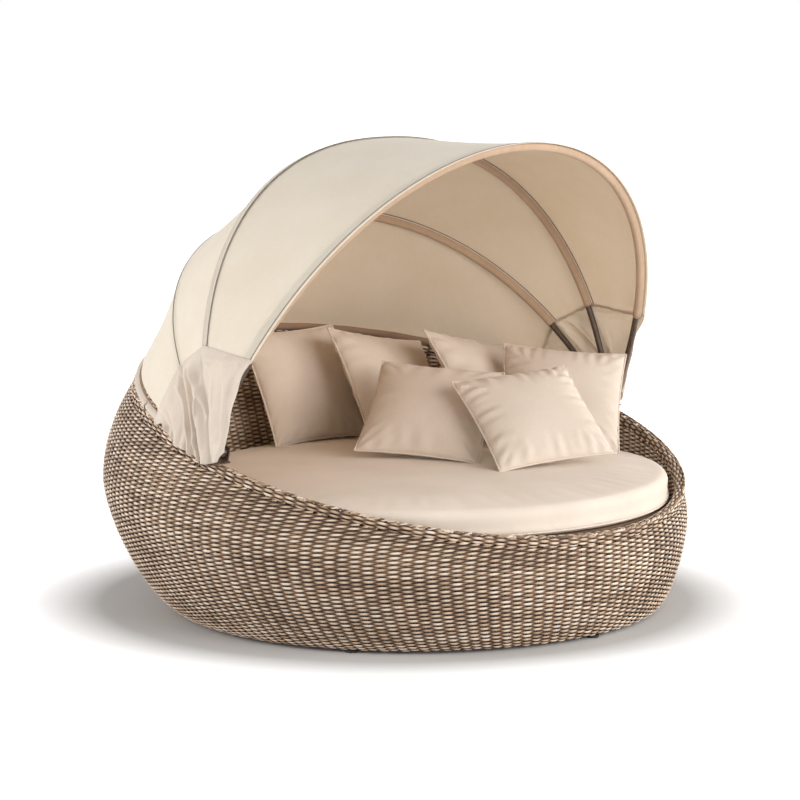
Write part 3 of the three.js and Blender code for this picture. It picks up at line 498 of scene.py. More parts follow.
# The same resin on the thin upright stakes, in the darkest tone of the strands' ramp: painted
# shade, as they stand deep in the gaps between strands.
STAKE = grained_finish("resin_wicker_stake", "1f1610", "3d2e23", (60.0, 60.0, 60.0), 2.0,
                       Roughness=0.6, IOR=1.5)
CANVAS_OUT = cloth_finish("canopy_canvas_outside", "e7decd", "ddd1bd", through=0.55)
# The inside is the same cloth as the outside, drawn a warmer tan: painted shade and bounced light.
CANVAS_IN = cloth_finish("canopy_canvas_inside", "e6ceb4", "dac1a4", through=0.6)
FLAP_CLOTH = cloth_finish("flap_canvas", "e1d5c8", "d2c4b5", through=0.3)
BAND_CLOTH = cloth_finish("bow_sleeve_canvas", "cdb298", "b99e84")
SHADED_CLOTH = cloth_finish("rear_sleeve_inside", "a58b74", "8d7561")
PIPING_CLOTH = cloth_finish("piping_canvas", "eee2d2", "dccdba")
# A thin dark cord beside each inside piping: painted shadow in the gap of the seam.
PAINTED_SHADOW_CORD = cloth_finish("seam_gap_painted_shadow", "7a6656", "604f40")
SEAM_TAPE = cloth_finish("outer_seam_tape", "a39482", "8d7e6d")
SEAT_CLOTH = cloth_finish("seat_cushion_canvas", "e8ddd0", "dfd2c3", threads=False, slub=0.35)
SCATTER_CLOTH = cloth_finish("scatter_cushion_canvas", "e4d8cb", "d6c8b9", threads=False, slub=0.45)
ALUMINIUM = metal_finish("brown_powder_coated_tube", "5f4f42", "4d4036", 0.45, 0.3)
STEEL = metal_finish("brushed_stainless_steel", "c9cacb", "a9abad", 0.28)
BRACKET = metal_finish("brown_powder_coated_steel", "6b5a4b", "57483c", 0.45, 0.3)
# Moulded black plastic with a fine spark-eroded grain.
PLASTIC = grained_finish("moulded_polypropylene", "1b1a19", "2b2927", (900.0, 900.0, 900.0), 2.0,
                         (0.25, 0.0002), Roughness=0.55, IOR=1.49)
# Plywood, sawn and stained brown: long grain lines about 3 mm apart.
BOARD = grained_finish("stained_plywood", "4f3d2d", "7d6550", (4.0, 330.0, 330.0), 5.0,
                       (0.2, 0.0004), Roughness=0.7, IOR=1.5)


def finish_piece(piece, body, slot, *nodes):
    """Rides a piece on its body, and hides the CAD nodes it stands for. Its slot is not used."""
    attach(piece, body)
    if nodes:
        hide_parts(*nodes)
    return piece


# Wicker.

# The section is in shares of a strand's width and thickness, and its edges lie in the shade of
# the strands beside it. The lamps reach the inner wall less than they should, so it is paler.
STRAND_SECTION = np.array([[-0.5, -0.5], [-0.4, 0.2], [0.0, 0.5], [0.4, 0.2], [0.5, -0.5]])
EDGE_SHADE = np.array([-0.15, -0.02, 0.04, -0.02, -0.15])
BASE_TONE = {1: 0.32, -1: 0.44}


def weave_rows(face, columns, rises):
    """Where each row lies on each column of a wall, row r at the arc length (r + 1/2) pitch
    from the foot, by a table of each column's length. Returns the rises (rows, columns) and
    where the wall reaches that high."""
    angle = np.arange(columns) / columns * TURN
    table = face(angle[:, None], np.broadcast_to(rises, (columns, len(rises))))
    steps = np.linalg.norm(np.diff(table, axis=1), axis=-1)
    lengths = np.concatenate([np.zeros((columns, 1)), np.cumsum(steps, 1)], 1)
    rows = int(lengths[:, -1].max() / STRAND_PITCH)
    target = (np.arange(rows) + 0.5) * STRAND_PITCH
    # One call finds every column's rises: each column's lengths start 10 m after the last.
    apart = np.arange(columns)[:, None] * 10.0
    rise = np.interp((target + apart).ravel(), (lengths + apart).ravel(), np.tile(rises, columns))
    inside = (target[None, :] < lengths[:, -1:] - STRAND_PITCH * 0.2).T
    return angle, rise.reshape(columns, rows).T, inside


def per_stake(values):
    """One value per stake, repeated along the last axis for each of its columns."""
    return np.repeat(values, SAMPLES_PER_STAKE, -1)


def weave_tone_and_painted_light(rng, wave, angle, base, seed):
    """Tone of each strand, with painted highlight and shade: pale where it bows out over a stake,
    as s^0.7, and dark between two stakes and behind one, where the strands beside it shade it.
    A strand keeps its own tone for some nine stakes, each bump and each column of bumps has its
    own too, and soft patches run over the whole wall."""
    rows, columns = wave.shape
    over = np.maximum(wave, 0)
    run = 9 * SAMPLES_PER_STAKE
    shade = np.repeat(rng.uniform(-1, 1, (rows, columns // run + 1)), run, 1)
    shift = rng.integers(0, run, rows)[:, None]
    shade = shade[np.arange(rows)[:, None], (np.arange(columns)[None, :] + shift) % columns]
    bump = per_stake(rng.uniform(-1, 1, (rows, STAKES)))
    # Painted highlight where the strand bows out, and painted shade where it dives under.
    tone = base + 0.45 * over ** 0.7 + 0.05 * np.minimum(wave, 0)
    tone = tone + (0.13 * shade + 0.12 * bump) * (0.5 + 0.5 * over)
    column = per_stake(rng.uniform(-1, 1, STAKES))
    high = np.arange(rows)[:, None] * 0.03
    patch = ripple(np.cos(angle) * 1.3 + high, np.sin(angle) * 1.3 - high, seed, 6, 0.6, 1.6)
    return tone + 0.05 * column + 0.045 * patch


def woven_wall(name, face, side, parts, node, seed):
    """A plain weave over a face. A strand's middle goes in and out of it as tanh(1.5 s), where
    s = sin(pi (stake + row)), and is widest where it bows out. Its section has a round back.
    The rows are shared between parts, each a piece."""
    columns = STAKES * SAMPLES_PER_STAKE
    angle, rise, inside = weave_rows(face, columns, np.linspace(0, 2, 241))
    rows = len(rise)
    rng = np.random.default_rng(seed)
    stake = np.arange(columns) / SAMPLES_PER_STAKE
    wave = np.sin(math.pi * (stake[None, :] + np.arange(rows)[:, None]))
    swing = np.tanh(1.5 * wave) / math.tanh(1.5)
    uneven = per_stake(rng.uniform(0.86, 1.0, (rows, STAKES)))
    centre, up, normal = face_frame(face, np.broadcast_to(angle, rise.shape), rise, side)
    out = STRAND_SWING * (swing * uneven - 1) - STRAND_THICKNESS / 2
    waver = per_stake(rng.uniform(-0.4, 0.4, (rows, STAKES)) * MM)
    waver = (waver + np.roll(waver, SAMPLES_PER_STAKE // 2, 1)) / 2
    centre = centre + normal * out[..., None] + up * waver[..., None]
    width = STRAND_WIDTH * (0.99 + 0.17 * np.maximum(wave, 0))
    across = width[..., None] * STRAND_SECTION[:, 0]
    points = (centre[:, :, None] + up[:, :, None] * across[..., None]
              + normal[:, :, None] * (STRAND_THICKNESS * STRAND_SECTION[:, 1])[:, None])
    tone = weave_tone_and_painted_light(rng, wave, angle, BASE_TONE[side], seed)
    tone = np.clip(tone[..., None] + EDGE_SHADE, 0, 1)
    along = np.broadcast_to(angle * RIM_HALF_WIDTH, rise.shape)[..., None]
    strand = stack(along, across + np.arange(rows)[:, None, None] * 0.1, tone)
    joined = (inside & np.roll(inside, -1, 1)).reshape(-1)
    number = np.arange(rows * columns).reshape(rows, columns)
    sides = len(STRAND_SECTION)
    k = np.arange(sides)
    k2 = (k + 1) % sides
    here = number.reshape(-1, 1) * sides
    there = np.roll(number, -1, 1).reshape(-1, 1) * sides
    quads = np.stack([here + k, here + k2, there + k2, there + k], -1)
    starts = (inside & ~np.roll(inside, 1, 1)).reshape(-1)
    ends = (inside & ~np.roll(inside, -1, 1)).reshape(-1)
    row_of = np.repeat(np.arange(rows), columns)
    for part in range(parts):
        chosen = (row_of * parts // rows) == part
        body = quads[chosen & joined].reshape(-1, 4)
        first = here[chosen & starts] + k[::-1]
        last = here[chosen & ends] + k
        label = f"{name}_{part + 1}" if parts > 1 else name
        piece = mesh_piece(label, points, [body, first, last], [WICKER], {"strand": strand})
        finish_piece(piece, "base", "wicker", *([node] if part == 0 else []))


def add_wicker():
    woven_wall("wicker_outer_weave", outer_face, 1, 5, "wicker_outer_wall", 11)
    woven_wall("wicker_inner_weave", inner_face, -1, 2, "wicker_inner_wall", 12)
    woven_wall("wicker_rim_weave", rim_face, 1, 1, "wicker_rim_braid", 13)
    add_stakes("wicker_outer_stakes", outer_face, 1)
    add_stakes("wicker_inner_stakes", inner_face, -1)
    add_rim_twist()


def add_stakes(name, face, side):
    """Thin upright rods at each stake, half way between the strands' in and out."""
    angle = np.arange(STAKES) / STAKES * TURN + TURN / STAKES / 2
    rise = np.linspace(0.01, 1.99, 22)
    grid_angle, grid_rise = np.meshgrid(angle, rise, indexing="ij")
    centre, up, normal = face_frame(face, grid_angle, grid_rise, side)
    centre = centre - normal * (STRAND_SWING + STRAND_THICKNESS / 2)
    across = np.cross(up, normal)
    sides = 5
    sections = centre[:, :, None] + STAKE_RADIUS * circle(sides, normal, across)
    count = sections.shape[1] * sides
    one = grid_quads(sections.shape[1], sides, wrap_cols=True)
    quads = (one[None] + np.arange(STAKES)[:, None, None] * count).reshape(-1, 4)
    base = np.arange(STAKES)[:, None] * count
    end = np.arange(sides)
    caps = np.concatenate([base + end[::-1], base + count - sides + end])
    finish_piece(mesh_piece(name, sections, [quads, caps], [STAKE]), "base", "wicker")


def add_rim_twist():
    """Two thin strands twisted round a line along the rim's outer upper edge: helices of
    2 mm about it that turn once in 26 mm."""
    turns, samples, sides = 200, 12, 7
    count = turns * samples
    angle = np.arange(count) / count * TURN
    place = math.radians(58)
    reach = BRAID_RADIUS + 0.2 * MM
    line = rim_point(angle, reach * math.cos(place), reach * math.sin(place))
    _, side, over = frames_along(line, unit(line - rim_point(angle)), closed=True)
    turn = np.arange(sides) / sides * TURN
    rng = np.random.default_rng(14)
    for number in range(2):
        twist = turns * angle + number * math.pi
        path = line + 2.0 * MM * (np.cos(twist)[:, None] * side + np.sin(twist)[:, None] * over)
        _, across, up = frames_along(path, over, closed=True)
        points, faces = loft(path[:, None] + 2.4 * MM * circle(sides, across, up), closed=True)
        tone = np.repeat(rng.uniform(0.2, 0.95, turns), samples)
        strand = stack((angle * RIM_HALF_WIDTH)[:, None], np.cos(turn) * 3 * MM, tone[:, None])
        piece = mesh_piece(f"wicker_rim_twist_{number + 1}", points, faces, [WICKER], {"strand": strand})
        finish_piece(piece, "base", "wicker")


# Canopy.

def bow_point(index, share, side):
    """Centre of a bow at a share of its reach: |x/span|^f + share^f = 1 in its own plane."""
    _, reach, lean, fullness = BOWS[index]
    x = (HINGE_HALF_SPAN - index * BOW_STEP) * np.maximum(1 - share ** fullness, 0) ** (1 / fullness)
    out = reach * share
    return stack(side * x, HINGE_Y + out * math.cos(lean), HINGE_Z + out * math.sin(lean))


def arch_point(index, turn):
    """The same arch by its angle, from 0 at the +X hinge over the crown to pi."""
    share = np.minimum(np.abs(np.sin(turn)) ** (2 / BOWS[index][3]), 1)
    return bow_point(index, share, np.where(np.cos(turn) < 0, -1, 1))


def rear_turn(reach):
    """Angle round the rim at a way behind the hinge line, up the rim's slope."""
    y = HINGE_Y + reach * math.cos(RIM_TILT) + HINGE_OVER_RIM * math.sin(RIM_TILT)
    return np.arcsin(np.clip((y - RIM_CENTRE_Y) / RIM_HALF_DEPTH, -1, 1))


def bow_along(index, along):
    """Centre of bow number index above its flaps: along runs from 0 at +X to 1 at -X."""
    if index == len(BOWS):
        start = rear_turn(SEAM_REACH)
        return rim_point(start + along * (math.pi - 2 * start), 0, np.full(np.shape(along), REAR_BOW_LIFT))
    start = math.asin((SEAM_REACH / BOWS[index][1]) ** (BOWS[index][3] / 2))
    return arch_point(index, start + along * (math.pi - 2 * start))


def bow_at_reach(index, reach, side):
    """Centre of bow number index at a given reach from the hinge line."""
    if index == len(BOWS):
        point = rim_point(rear_turn(reach), 0, np.full(np.shape(reach), REAR_BOW_LIFT))
        return point * [side, 1, 1]
    return bow_point(index, reach / BOWS[index][1], side)


def chord_normal(at, other, tangent):
    """Outward normal of the straight cloth between two bows, at one of them."""
    normal = unit(np.cross(other - at, tangent))
    outward = (at + other) / 2 - HINGE + at * [1, 0, 0]
    return normal * np.where(np.sum(normal * outward, -1, keepdims=True) < 0, -1, 1)


def bow_frame(index, line, param, step):
    """Centre, tangent, the direction that splits the cloth in front of and behind the bow,
    and the cosine of half the angle between them."""
    at = line(index, param)
    tangent = unit(line(index, param + step) - line(index, param - step))
    beside = [k for k in (index - 1, index + 1) if 0 <= k <= len(BOWS)]
    normals = [chord_normal(at, line(k, param), tangent) for k in beside]
    middle = unit(sum(normals))
    return at, tangent, middle, np.sum(middle * normals[0], -1, keepdims=True)


def cloth_at(index, line, param, step, off):
    """The cloth's middle surface over a bow, off past the bow's own radius."""
    at, _, middle, spread = bow_frame(index, line, param, step)
    return at + middle * (BOW_RADIUS + off) / spread


def hinge_angle(points):
    """Angle of points about the hinge line, from straight back (+Y) up and over."""
    return np.arctan2(points[..., 2] - HINGE_Z, points[..., 1] - HINGE_Y)


def blend_between(piece):
    """Bakes a two-layered cloth piece's transform into its points."""
    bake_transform(piece)


def declare_cloth(piece, node):
    """Hides the CAD node that a canopy sheet stands for, and bakes the sheet's transform into
    its points."""
    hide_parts(node)
    blend_between(piece)


PANEL_COLUMNS = 181
PANEL_ROWS = 33


def panel_grid(index):
    """One panel's middle surface: straight from bow to bow but for a sag towards the hinge
    line and soft waves, with the hem in front of the first bow or down the outer side of the
    last. Returns the grid and each point's blend weight, its place in angle about the hinge
    line between the panel's rear and front bow."""
    step = 0.002
    along = np.linspace(0, 1, PANEL_COLUMNS)
    front = cloth_at(index, bow_along, along, step, CLOTH_OFF)
    rear = cloth_at(index + 1, bow_along, along, step, CLOTH_OFF)
    if index == len(BOWS) - 1:
        # At the left side the edge isn't sewn down: it stands off the rear bow's sleeve.
        centre = bow_along(index + 1, along)
        loose = centre + unit(front - centre) * (SLEEVE_RADIUS + LOOSE_EDGE)
        rear = rear + (loose - rear) * rear_slit(along)[:, None]
    chord = rear - front
    gap = 0.25 * MM / np.linalg.norm(chord, axis=-1, keepdims=True)
    row = np.linspace(0, 1, PANEL_ROWS)[:, None, None]
    inward = unit((HINGE - front) * [0, 1, 1])
    lift = np.sin(math.pi * along)[None, :, None] ** 0.5
    sag = CLOTH_SAG * 4 * row * (1 - row) * lift
    u = along[None, :] * 2.6
    v = row[..., 0] * 0.6
    calm = np.sin(math.pi * row[..., 0]) ** 0.6
    wave = 1.7 * MM * ripple(u, v, 30 + index, 6, 0.8, 2.6) * calm
    # Soft drag lines fan out from the side seams, where the cloth is gathered.
    ends = np.exp(-along / 0.05)[None, :] + np.exp(-(1 - along) / 0.05)[None, :]
    drag = 2.0 * MM * np.sin(TURN * 4.5 * v / 0.6 + 1.3 * index) * ends * calm
    grid = front + chord * (gap + row * (1 - 2 * gap)) + inward * (sag + (wave + drag)[..., None])
    if index == 0:
        hem = np.linspace(1, 0, 5)[:-1, None, None] * FRONT_HEM
        hem = hem / np.linalg.norm(chord, axis=-1, keepdims=True)
        grid = np.concatenate([front - chord * hem, grid])
    if index == len(BOWS) - 1:
        turn = rear_bow_turn(along)
        out = SLEEVE_RADIUS + 1.4 * MM
        low = np.stack([rim_point(turn, out, np.full(turn.shape, REAR_BOW_LIFT - drop))
                        for drop in (0, REAR_HEM / 2, REAR_HEM)])
        tucked = grid[-1] - RIM_UP * (np.arange(1, 4) * 0.5 * MM)[:, None, None]
        free = smooth_step(rear_slit(along) * 3)[None, :, None]
        grid = np.concatenate([grid, low * (1 - free) + tucked * free])
    front_angle, rear_angle = hinge_angle(front), hinge_angle(rear)
    return grid, (hinge_angle(grid) - rear_angle) / (front_angle - rear_angle)


def rear_bow_turn(along):
    """Angle round the rim along the rear bow, from 0 at +X to 1 at -X."""
    start = rear_turn(SEAM_REACH)
    return start + along * (math.pi - 2 * start)


def rear_slit(along):
    """1 where the rear panel's edge stands off the rear bow, at the left side, and 0 elsewhere."""
    return smooth_step((1.01 - along) / 0.04) * smooth_step((along - 0.70) / 0.12)


def add_panels():
    for index, name in enumerate(("canopy_front_panel", "canopy_middle_panel", "canopy_rear_panel")):
        grid, weight = panel_grid(index)
        piece = cloth_shell(name + "_cloth", grid, [CANVAS_OUT, CANVAS_IN])
        declare_cloth(piece, name)


# Folds of the gathered side cloth. Place counts 0 at the front bow, 1 and 2 at the next two
# and 3 at the rear one. Each fold has its place at the seam and at the foot, its half width
# in places, its height in mm (a valley's is negative), and where it starts and fades.
FOLD_SHARES = (
    (2.50, 2.05, 0.36, 15, -0.10, 2.00),
    (2.86, 2.62, 0.08, 7, 0.05, 2.00),
    (2.70, 2.30, 0.05, -5, 0.25, 2.00),
    (2.20, 1.62, 0.06, 9, 0.10, 2.00),
    (2.06, 1.46, 0.05, -9, 0.02, 2.00),
    (1.93, 1.75, 0.035, -12, -0.30, 0.22),
    (1.86, 1.06, 0.07, 14, 0.00, 2.00),
    (1.74, 0.94, 0.04, -10, 0.05, 2.00),
    (1.62, 0.20, 0.06, 9, 0.04, 0.70),
    (1.45, 0.74, 0.14, 16, 0.02, 2.00),
    (1.10, 0.46, 0.06, -12, 0.02, 2.00),
    (0.86, 1.20, 0.05, 7, 0.30, 0.95),
    (0.62, 0.30, 0.14, -7, 0.10, 0.90),
    (0.32, 0.14, 0.09, 9, 0.15, 2.00),
)
# The gathered cloth's lower edge: place, then how far out, along Y and up it lies.
FLAP_FOOT = (
    (0.00, 0.906, -0.208, 0.590),
    (0.25, 0.926, -0.194, 0.561),
    (0.60, 0.930, -0.157, 0.552),
    (1.00, 0.932, -0.126, 0.559),
    (1.40, 0.931, -0.099, 0.566),
    (1.80, 0.925, -0.057, 0.585),
    (2.30, 0.912, 0.010, 0.603),
    (2.70, 0.900, 0.069, 0.634),
    (3.00, 0.893, 0.103, 0.646),
)
REAR_FLAP_END = 0.235
FLAP_TUCK = 62 * MM


def fold_height(place, down):
    """Sum of the folds: each is a bell across the cloth whose middle moves forwards on the
    way down, as the cloth hangs straight while the bows lean, with a ridge that runs back
    from the front hem under the seam, and fine gathers at the foot."""
    total = np.zeros(np.broadcast(place, down).shape)
    for top, foot, width, height, starts, fades in FOLD_SHARES:
        middle = top + (foot - top) * down
        bell = np.exp(-((place - middle) / width) ** 2)
        shown = smooth_step((down - starts) / 0.25) * smooth_step((fades - down) / 0.12)
        total += 1.3 * height * MM * bell * shown
    ridge = np.exp(-((down - 0.04 - 0.10 * place) / 0.035) ** 2)
    total += 9 * MM * ridge * smooth_step(place / 0.2) * smooth_step((1.15 - place) / 0.3)
    total += 3.0 * MM * np.sin(TURN * 3.3 * place + 1.0) * smooth_step((down - 0.65) / 0.3)
    total += 1.6 * MM * ripple(place * 2.2, down * 2.6, 51, 7, 0.7, 2.0) * smooth_step(down / 0.1)
    return np.maximum(total, -4 * MM)


def flap_line(index, reach, side):
    """The gathered cloth over bow number index; on the rear bow it lies down its outer side."""
    if index == len(BOWS):
        lift = np.full(reach.shape, REAR_BOW_LIFT - 8 * MM)
        return rim_point(rear_turn(reach), SLEEVE_RADIUS + 2.4 * MM, lift) * [side, 1, 1]
    return cloth_at(index, lambda bow, at: bow_at_reach(bow, at, side), reach, 1 * MM, CLOTH_OFF + 3 * MM)


def flap_grid(index, side):
    """A hinge flap's middle surface: straight lines between two bows, from over the side seam
    down towards the hinge, drawn out past the bolt's head to the foot's line as the square of
    the way down, with the folds added outwards. Returns the grid and its blend weights."""
    down = np.linspace(0, 1, 61)
    across = np.linspace(0, 1, 81)
    seam = SEAM_REACH + FLAP_OVERLAP
    rear_end = REAR_FLAP_END if index == len(BOWS) - 1 else FLAP_END
    front = flap_line(index, seam + (FLAP_END - seam) * down, side)
    rear = flap_line(index + 1, seam + (rear_end - seam) * down, side)
    width = np.linalg.norm(rear - front, axis=-1)
    # Below the press stud the right side's hem is tucked back round the bow.
    hem = FRONT_HEM * (1 - smooth_step(down / 0.3) if side > 0 else 1)
    start = -hem / width if index == 0 else np.zeros(down.shape)
    share = start[:, None] + across[None, :] * (1 - start[:, None])
    grid = front[:, None] + (rear - front)[:, None] * share[..., None]
    # The cloth stays out past the front bow before it drops to the rear one, which lies
    # further in, so that neither tube cuts it when they fold together.
    below = smooth_step(down / 0.15)[:, None]
    held_out = (share - smooth_step((share - 0.3) / 0.7)) * smooth_step(share / 0.1) * below
    grid[..., 0] += (front - rear)[:, :1] * np.maximum(held_out, 0) + side * 4 * MM * below
    place = index + across[None, :]
    feet = np.array(FLAP_FOOT).T
    foot = stack(*(np.interp(place[0], feet[0], line) for line in feet[1:])) * [side, 1, 1]
    if side > 0:
        foot[:, 1] += FLAP_TUCK * smooth_step(1 - place[0] / 1.6)
    grid = grid + (foot - grid[-1])[None] * (down ** 2)[:, None, None]
    pucker = 2.0 * MM * np.sin(TURN * 7 * place) ** 2 * np.exp(-down / 0.08)[:, None]
    soft = 1.6 * MM * ripple(place * 1.3, down[:, None] * 1.6, 50, 6, 0.8, 2.4)
    grid[..., 0] += side * (fold_height(place, down[:, None]) + pucker + soft)
    angle = hinge_angle(grid[0])
    ends = hinge_angle(np.stack([front[0], rear[0]]))
    weight = (angle - ends[1]) / (ends[0] - ends[1])
    return grid, np.broadcast_to(weight, grid.shape[:2])


def add_flaps():
    inside = (0, HINGE_Y + 0.1, HINGE_Z + 0.1)
    for hand, side in (("left", -1), ("right", 1)):
        for index, place in enumerate(("front", "middle", "rear")):
            grid, weight = flap_grid(index, side)
            name = f"hinge_flap_{hand}_{place}"
            piece = cloth_shell(name + "_cloth", grid, [FLAP_CLOTH, CANVAS_IN], away=inside)
            declare_cloth(piece, name)


def band_piece(name, path, over, width, height, material, body):
    """A flat band along a path: a low rectangle with rounded upper edges, square to over."""
    _, side, over = frames_along(path, over)
    shape = np.array([(-0.5, 0), (-0.5, 0.5), (-0.42, 1), (0.42, 1), (0.5, 0.5), (0.5, 0)])
    section = side[:, None] * (shape[:, 0] * width)[:, None]
    section = section + over[:, None] * (shape[:, 1] * height)[:, None]
    points, faces = loft(path[:, None] + section)
    length = np.concatenate([[0], np.cumsum(np.linalg.norm(np.diff(path, axis=0), axis=1))])
    threads = np.stack(np.broadcast_arrays(shape[:, 0] * width, length[:, None], 0.0), -1)
    piece = mesh_piece(name, points, faces, [material], {"threads": threads})
    finish_piece(piece, body, "canopy_cloth")


SLEEVE_HALF = 15 * MM
SLEEVE_HUG = 11.6 * MM
SLEEVE_NECK = (13 * MM, 3 * MM)


def add_bow_sleeves():
    """On each turning bow: a sleeve of cloth sewn inside the panels, a section that hugs the
    tube below and flares to the panels at both sides. Inside, a cord edges the sleeve's
    front side, with a thin dark cord beyond it that is painted shadow in the seam's gap.
    Outside, a tape lies over each seam, and a wider band over the second bow's."""
    step = 0.002
    along = np.linspace(0.002, 0.998, 141)
    turn = np.radians(np.linspace(-20, -160, 15))
    hug = [(SLEEVE_HUG * math.cos(t), SLEEVE_HUG * math.sin(t)) for t in turn]
    neck, drop = SLEEVE_NECK
    outer = [(SLEEVE_HALF, None), (neck, drop)] + hug + [(-neck, drop), (-SLEEVE_HALF, None)]
    inner = [(a * 0.93, None if b is None else (b * 0.93 + 0.2 * MM)) for a, b in outer][::-1]
    for index, (bow, _, _, _) in enumerate(BOWS):
        at, tangent, middle, spread = bow_frame(index, bow_along, along, step)
        across = unit(np.cross(tangent, middle))
        slope = np.sqrt(np.maximum(1 - spread ** 2, 0)) / spread
        face = (BOW_RADIUS + 2.2 * MM) / spread - 0.6 * MM
        section = []
        for a, b in outer + inner:
            rise = face - abs(a) * slope if b is None else np.full_like(face, b)
            section.append(at + across * a + middle * rise)
        points, faces = loft(np.stack(section, 1))
        threads = stack(along[:, None] * 2.4, np.zeros(len(section)), 0.0)
        sleeve = mesh_piece(f"{bow}_sleeve", points, faces, [BAND_CLOTH], {"threads": threads})
        finish_piece(sleeve, bow, "canopy_cloth")
        forward = np.sign(np.sum(across * (0, -1, 0), -1, keepdims=True))
        # The piping, then a dark cord of painted shadow beyond it.
        for name, place, radius, finish in (("piping", SLEEVE_HALF, 2.5 * MM, PIPING_CLOTH),
                                            ("shadow_cord", SLEEVE_HALF + 3.4 * MM, 1.2 * MM, PAINTED_SHADOW_CORD)):
            if index == 0:
                place = -place
            path = at + across * forward * place + middle * (face - abs(place) * slope - 2 * MM)
            cord = tube(f"{bow}_{name}", path, radius, finish, up=middle, sides=8)
            finish_piece(cord, bow, "canopy_cloth")
        top = cloth_at(index, bow_along, along, step, CLOTH_OFF + CLOTH_THICKNESS / 2 + 0.2 * MM)
        if index == 0:
            # The hem's stitched line, half way out to its edge.
            ahead = unit(top - cloth_at(1, bow_along, along, step, CLOTH_OFF))
            band_piece("front_hem_tape", top + ahead * 13 * MM, middle, 4 * MM, 0.8 * MM, SEAM_TAPE, bow)
        elif index == 1:
            band_piece("second_bow_band", top, middle, 21 * MM, 0.9 * MM, CANVAS_OUT, bow)
            for number, place in enumerate((-10.5 * MM, 10.5 * MM), 1):
                edge = top + across * place - middle * 0.3 * MM
                band_piece(f"second_bow_tape_{number}", edge, middle, 2.6 * MM, 0.8 * MM, SEAM_TAPE, bow)
        else:
            band_piece("third_bow_tape", top, middle, 5 * MM, 0.8 * MM, SEAM_TAPE, bow)


def add_rear_sleeve():
    """The rear bow's own sleeve: a tube of cloth round it, pale outside and shaded inside."""
    along = np.linspace(0, 1, 181)
    turn = rear_bow_turn(along)
    path = rim_point(turn, 0, np.full(turn.shape, REAR_BOW_LIFT))
    radius = SLEEVE_RADIUS + 0.5 * MM * ripple(along * 12, along * 0, 44, 5, 0.6, 1.6)
    radius = np.maximum(radius, BOW_RADIUS + 1.2 * MM)
    piece = tube("rear_bow_sleeve", path, radius, FLAP_CLOTH, RIM_UP, 16, bore=BOW_RADIUS + 0.3 * MM)
    mesh = piece.data
    mesh.materials.append(SHADED_CLOTH)
    normals, centres = np.zeros((2, len(mesh.polygons) * 3), np.float32)
    mesh.polygons.foreach_get("normal", normals)
    mesh.polygons.foreach_get("center", centres)
    outward = unit((centres.reshape(-1, 3) - [0, RIM_CENTRE_Y, 0]) * [1, 1, 0])
    inside = np.sum(normals.reshape(-1, 3) * outward, -1) < -0.1
    mesh.polygons.foreach_set("material_index", inside.astype(np.int32))
    finish_piece(piece, "base", "canopy_cloth")


def add_snaps():
    """A small press stud on the front hem at each side, just over the flap: a flat disc with
    rounded edges, a profile of radius and height turned about its middle."""
    profile = np.array([(2.2, 3.0), (3.6, 2.2), (4.2, 0.8), (4.2, -0.8), (3.6, -2.2), (2.2, -3.0)]) * MM
    reach = np.array([SEAM_REACH])
    for hand, side in (("left", -1), ("right", 1)):
        def line(bow, at):
            return bow_at_reach(bow, at, side)
        front = cloth_at(0, line, reach, 1 * MM, CLOTH_OFF)
        ahead = unit(front - cloth_at(1, line, reach, 1 * MM, CLOTH_OFF))
        middle = bow_frame(0, line, reach, 1 * MM)[2]
        centre = (front + ahead * STUD_FROM_SEAM)[0]
        path = np.stack([centre - ahead[0], centre, centre + ahead[0]])
        _, across, over = frames_along(path, np.broadcast_to(middle[0], (3, 3)))
        ring = circle(16, ahead[0], across[1])
        rings = centre + profile[:, 0][:, None, None] * ring + profile[:, 1][:, None, None] * over[1]
        points, faces = loft(rings)
        finish_piece(mesh_piece(f"press_stud_{hand}", points, faces, [STEEL]), "front_bow", "canopy_cloth")


def add_bow_tubes():
    """Powder-coated tubes: the three arches with short tails past the bolt, and the rear
    bow along the rim."""
    radius, bore = BOW_RADIUS - 0.1 * MM, BOW_RADIUS - 1.7 * MM
    for index, (bow, _, lean, _) in enumerate(BOWS):
        arch = arch_point(index, np.linspace(0, math.pi, 121))
        tail = np.array([0, -math.cos(lean), -math.sin(lean)]) * BOW_END
        path = np.concatenate([[arch[0] + tail], arch, [arch[-1] + tail]])
        up = (0, -math.sin(lean), math.cos(lean))
        finish_piece(tube(f"{bow}_tube", path, radius, ALUMINIUM, up, 20, bore=bore), bow, "bow_tube", bow)
    start = rear_turn(26 * MM)
    turn = np.linspace(start, math.pi - start, 121)
    path = rim_point(turn, 0, np.full(turn.shape, REAR_BOW_LIFT))
    piece = tube("rear_bow_tube", path, radius, ALUMINIUM, RIM_UP, 20, bore=bore)
    finish_piece(piece, "base", "bow_tube", "rear_bow")


def add_canopy():
    add_bow_tubes()
    add_panels()
    add_flaps()
    add_bow_sleeves()
    add_rear_sleeve()
    add_snaps()


# Cushions.

